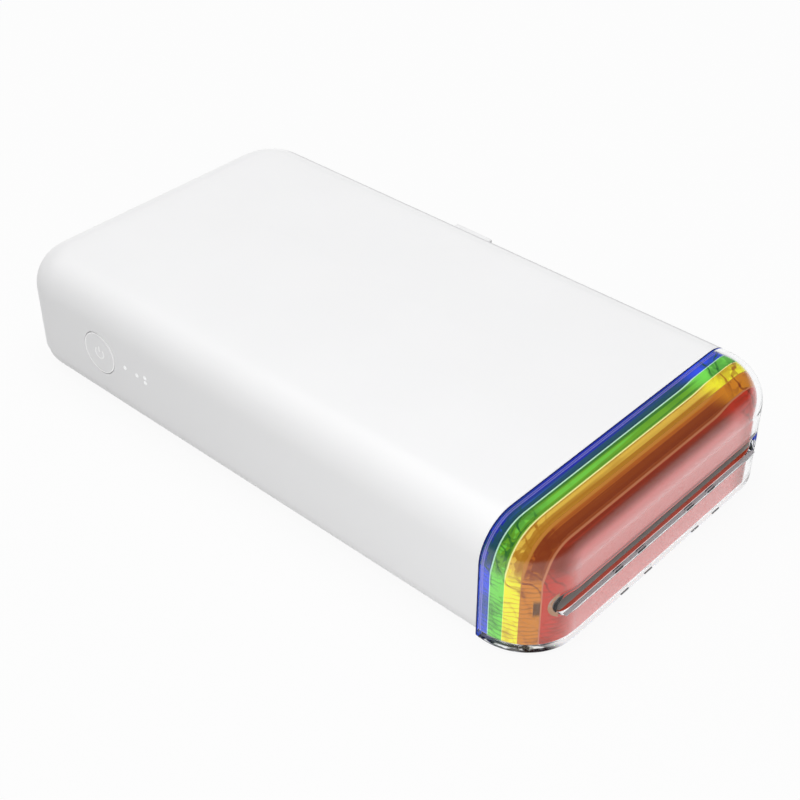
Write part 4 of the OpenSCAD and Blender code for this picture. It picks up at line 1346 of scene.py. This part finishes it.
@dataclass(frozen=True)
class PullLip:
    """The rounded outer edge of the cartridge door's pull tab."""

    low: Point = (-15.3 * MM, 41.2 * MM, 20.05 * MM)
    high: Point = (-4.7 * MM, 43.1 * MM, 21.35 * MM)
    soft: float = 0.3 * MM

    def build(self) -> None:
        """Builds the lip on the door."""
        lip = block("pull_lip", self.low, self.high)
        bevel(lip, lambda edge: True, self.soft, 3)
        even(lip)
        deliver(lip, "door", Finish.SHELL, "white_shell")


@dataclass
class SmoothShells:
    """Moulded parts whose CAD form is right and only needs smooth shading."""

    parts: tuple = (
        ("upper_shell", "housing", Finish.SHELL),
        ("bottom_case", "housing", Finish.CASE),
        ("cartridge_door", "door", Finish.SHELL),
        ("power_button", "button", Finish.SHELL),
    )
    angle: float = 24.0

    def build(self) -> None:
        """Welds and finishes a copy of each part."""
        for node, body, finish in self.parts:
            piece = copy_of(node, f"{node}_moulding")
            smooth(piece, self.angle)
            deliver(piece, body, finish, "white_shell", node)


NODE_FINISHES: dict[Finish, tuple[str, ...]] = {
    Finish.DARK: ("exit_guide", "cartridge_shell"),
    Finish.STEEL: (
        "door_hinge_pins", "gear_axles", "pickup_shaft", "platen_shaft", "grip_shaft",
        "pinch_roller", "head_pivot_shaft",
    ),
    Finish.LENS: ("status_lights",),
    Finish.BOARD: ("button_board", "main_board", "charge_board"),
    Finish.GREY: ("chassis_frame",),
    Finish.ZINC: ("drive_motor", "case_screws"),
    Finish.BRASS: ("motor_pinion", "roller_bushes"),
    Finish.NATURAL: (
        "reduction_gear", "pickup_gear", "first_idler", "second_idler", "platen_gear",
        "ribbon_idler", "grip_gear", "take_up_spindle",
    ),
    Finish.BLACK_RUBBER: ("pickup_roller", "platen_sleeve"),
    Finish.GREY_RUBBER: ("grip_sleeve", "rubber_feet"),
    Finish.RIBBON: ("take_up_spool", "supply_spool", "ribbon_film"),
    Finish.PAPER: ("paper_stack",),
    Finish.SHEET: ("paper_lift_plate", "head_bracket", "usb_socket"),
    Finish.ALUMINIUM: ("head_heat_sink",),
    Finish.CERAMIC: ("thermal_head",),
    Finish.FOIL: ("battery_pack",),
}


def dress_nodes() -> None:
    """Gives every CAD node that stays visible its finish."""
    for finish, nodes in NODE_FINISHES.items():
        for node in nodes:
            finish.paint(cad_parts[node])


# ---- studio


@dataclass(frozen=True)
class Studio:
    """The pale floor, the soft lamps and the camera."""

    eye: Point = (181.25 * MM, -191.30 * MM, 201.54 * MM)
    azimuth: float = 42.53
    elevation: float = 37.24
    roll: float = -0.08
    lens: float = 67.42
    sky: float = 0.27
    ceiling: float = 0.14
    ceiling_at: float = 0.24
    floor_half: float = 3.0
    floor_z: float = -0.02 * MM
    floor_grey: Span = (0.64, 0.67)
    floor_white: float = 0.93
    lamps: tuple = (
        ("top_box", (-0.1, 0.1, 0.9), (0, 0, 0), (0.9, 0.9), 7.8),
        ("front_box", (0.26, -0.3, 0.1), (0.06, -0.04, 0.01), (0.18, 0.14), 0.5),
    )

    def camera(self) -> None:
        """Places the camera at the photograph's view."""
        around, above = math.radians(self.azimuth), math.radians(self.elevation)
        back = Vector((
            math.sin(around) * math.cos(above),
            -math.cos(around) * math.cos(above),
            math.sin(above),
        ))
        turn = (-back).to_track_quat("-Z", "Y").to_matrix()
        tilt = Matrix.Rotation(math.radians(self.roll), 3, "Z")
        data = bpy.data.cameras.new("view_camera")
        data.lens = self.lens
        data.sensor_width = 36.0
        data.clip_start, data.clip_end = 0.01, 50.0
        camera = bpy.data.objects.new("view_camera", data)
        camera.matrix_world = Matrix.Translation(self.eye) @ (turn @ tilt).to_4x4()
        bpy.context.scene.collection.objects.link(camera)
        bpy.context.scene.camera = camera

    def seen(self, graph: Graph, *kinds: str) -> Value:
        """One on rays of the given kinds.

        Args:
            graph: The graph to add the nodes to.
            kinds: Camera, Glossy or Transmission.

        Returns:
            The mask.
        """
        rays = [graph.node("ShaderNodeLightPath", output=f"Is {kind} Ray") for kind in kinds]
        return sum(rays[1:], rays[0]) > 0.5

    def world(self) -> None:
        """Sets a white surround under a dimmer ceiling, and a sky that lights softly."""
        world = bpy.data.worlds.new("studio_world")
        bpy.context.scene.world = world
        world.use_nodes = True
        world.cycles.sampling_method = "NONE"
        graph = Graph(world.node_tree)
        soft = graph.node("ShaderNodeBackground", inputs={0: (*WHITE, 1.0), 1: self.sky})
        way = graph.node("ShaderNodeTexCoord", output="Generated")
        rise = graph.node("ShaderNodeSeparateXYZ", inputs={0: way}, output="Z")
        rise = rise.smooth(0.0, self.ceiling_at)
        shade = graph.mix(rise, WHITE, (self.ceiling,) * 3)
        shade = graph.mix(self.seen(graph, "Camera"), shade, WHITE)
        white = graph.node("ShaderNodeBackground", inputs={0: shade, 1: 1.0})
        seen = self.seen(graph, "Camera", "Glossy", "Transmission")
        mixed = graph.node("ShaderNodeMixShader", inputs={0: seen, 1: soft, 2: white})
        graph.node("ShaderNodeOutputWorld", inputs={"Surface": mixed})

    def floor(self) -> None:
        """Lays the pale floor, white where it isn't in shade."""
        half = self.floor_half
        clear()
        bpy.ops.mesh.primitive_plane_add(size=2 * half, location=(0, 0, self.floor_z))
        floor = bpy.context.object
        floor.name = "studio_floor"
        material, graph = new_graph("studio_floor")
        cloud = graph.noise(0.4, 2.0)
        grey = graph.mix(cloud, *((part,) * 3 for part in self.floor_grey))
        plain = graph.node("ShaderNodeBsdfDiffuse", inputs={0: grey})
        white = graph.node("ShaderNodeEmission", inputs={0: (*WHITE, 1.0), 1: 1.0})
        share = self.seen(graph, "Camera", "Glossy", "Transmission") * self.floor_white
        graph.finish(graph.node("ShaderNodeMixShader", inputs={0: share, 1: plain, 2: white}))
        floor.data.materials.append(material)

    def lamp(self, name: str, place: Point, aim: Point, size: Span, power: float) -> None:
        """Hangs one soft box.

        Args:
            name: The lamp's name.
            place: Where it hangs.
            aim: What it points at.
            size: Its width and height.
            power: Its power in watts.
        """
        data = bpy.data.lights.new(name, "AREA")
        data.shape = "RECTANGLE"
        data.size, data.size_y = size
        data.energy = power
        lamp = bpy.data.objects.new(name, data)
        turn = (Vector(aim) - Vector(place)).to_track_quat("-Z", "Y").to_matrix().to_4x4()
        lamp.matrix_world = Matrix.Translation(place) @ turn
        lamp.visible_glossy = False
        lamp.visible_transmission = False
        bpy.context.scene.collection.objects.link(lamp)

    def build(self) -> None:
        """Sets up the whole studio."""
        view = bpy.context.scene.view_settings
        view.view_transform = "Standard"
        self.camera()
        self.world()
        self.floor()
        for lamp in self.lamps:
            self.lamp(*lamp)


# ---- printer


@dataclass
class Printer:
    """The whole printer, built in order."""

    parts: tuple = (SmoothShells(), PullLip(), ButtonMarks(), ClearCap(), PaperSlot())

    def build(self) -> None:
        """Models and dresses every piece."""
        dress_nodes()
        for part in self.parts:
            part.build()


def main() -> None:
    """Builds the studio and the printer."""
    logging.basicConfig(level=logging.INFO, format="%(name)s: %(message)s")
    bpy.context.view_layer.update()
    Studio().build()
    Printer().build()


if __name__ == "__main__":
    main()
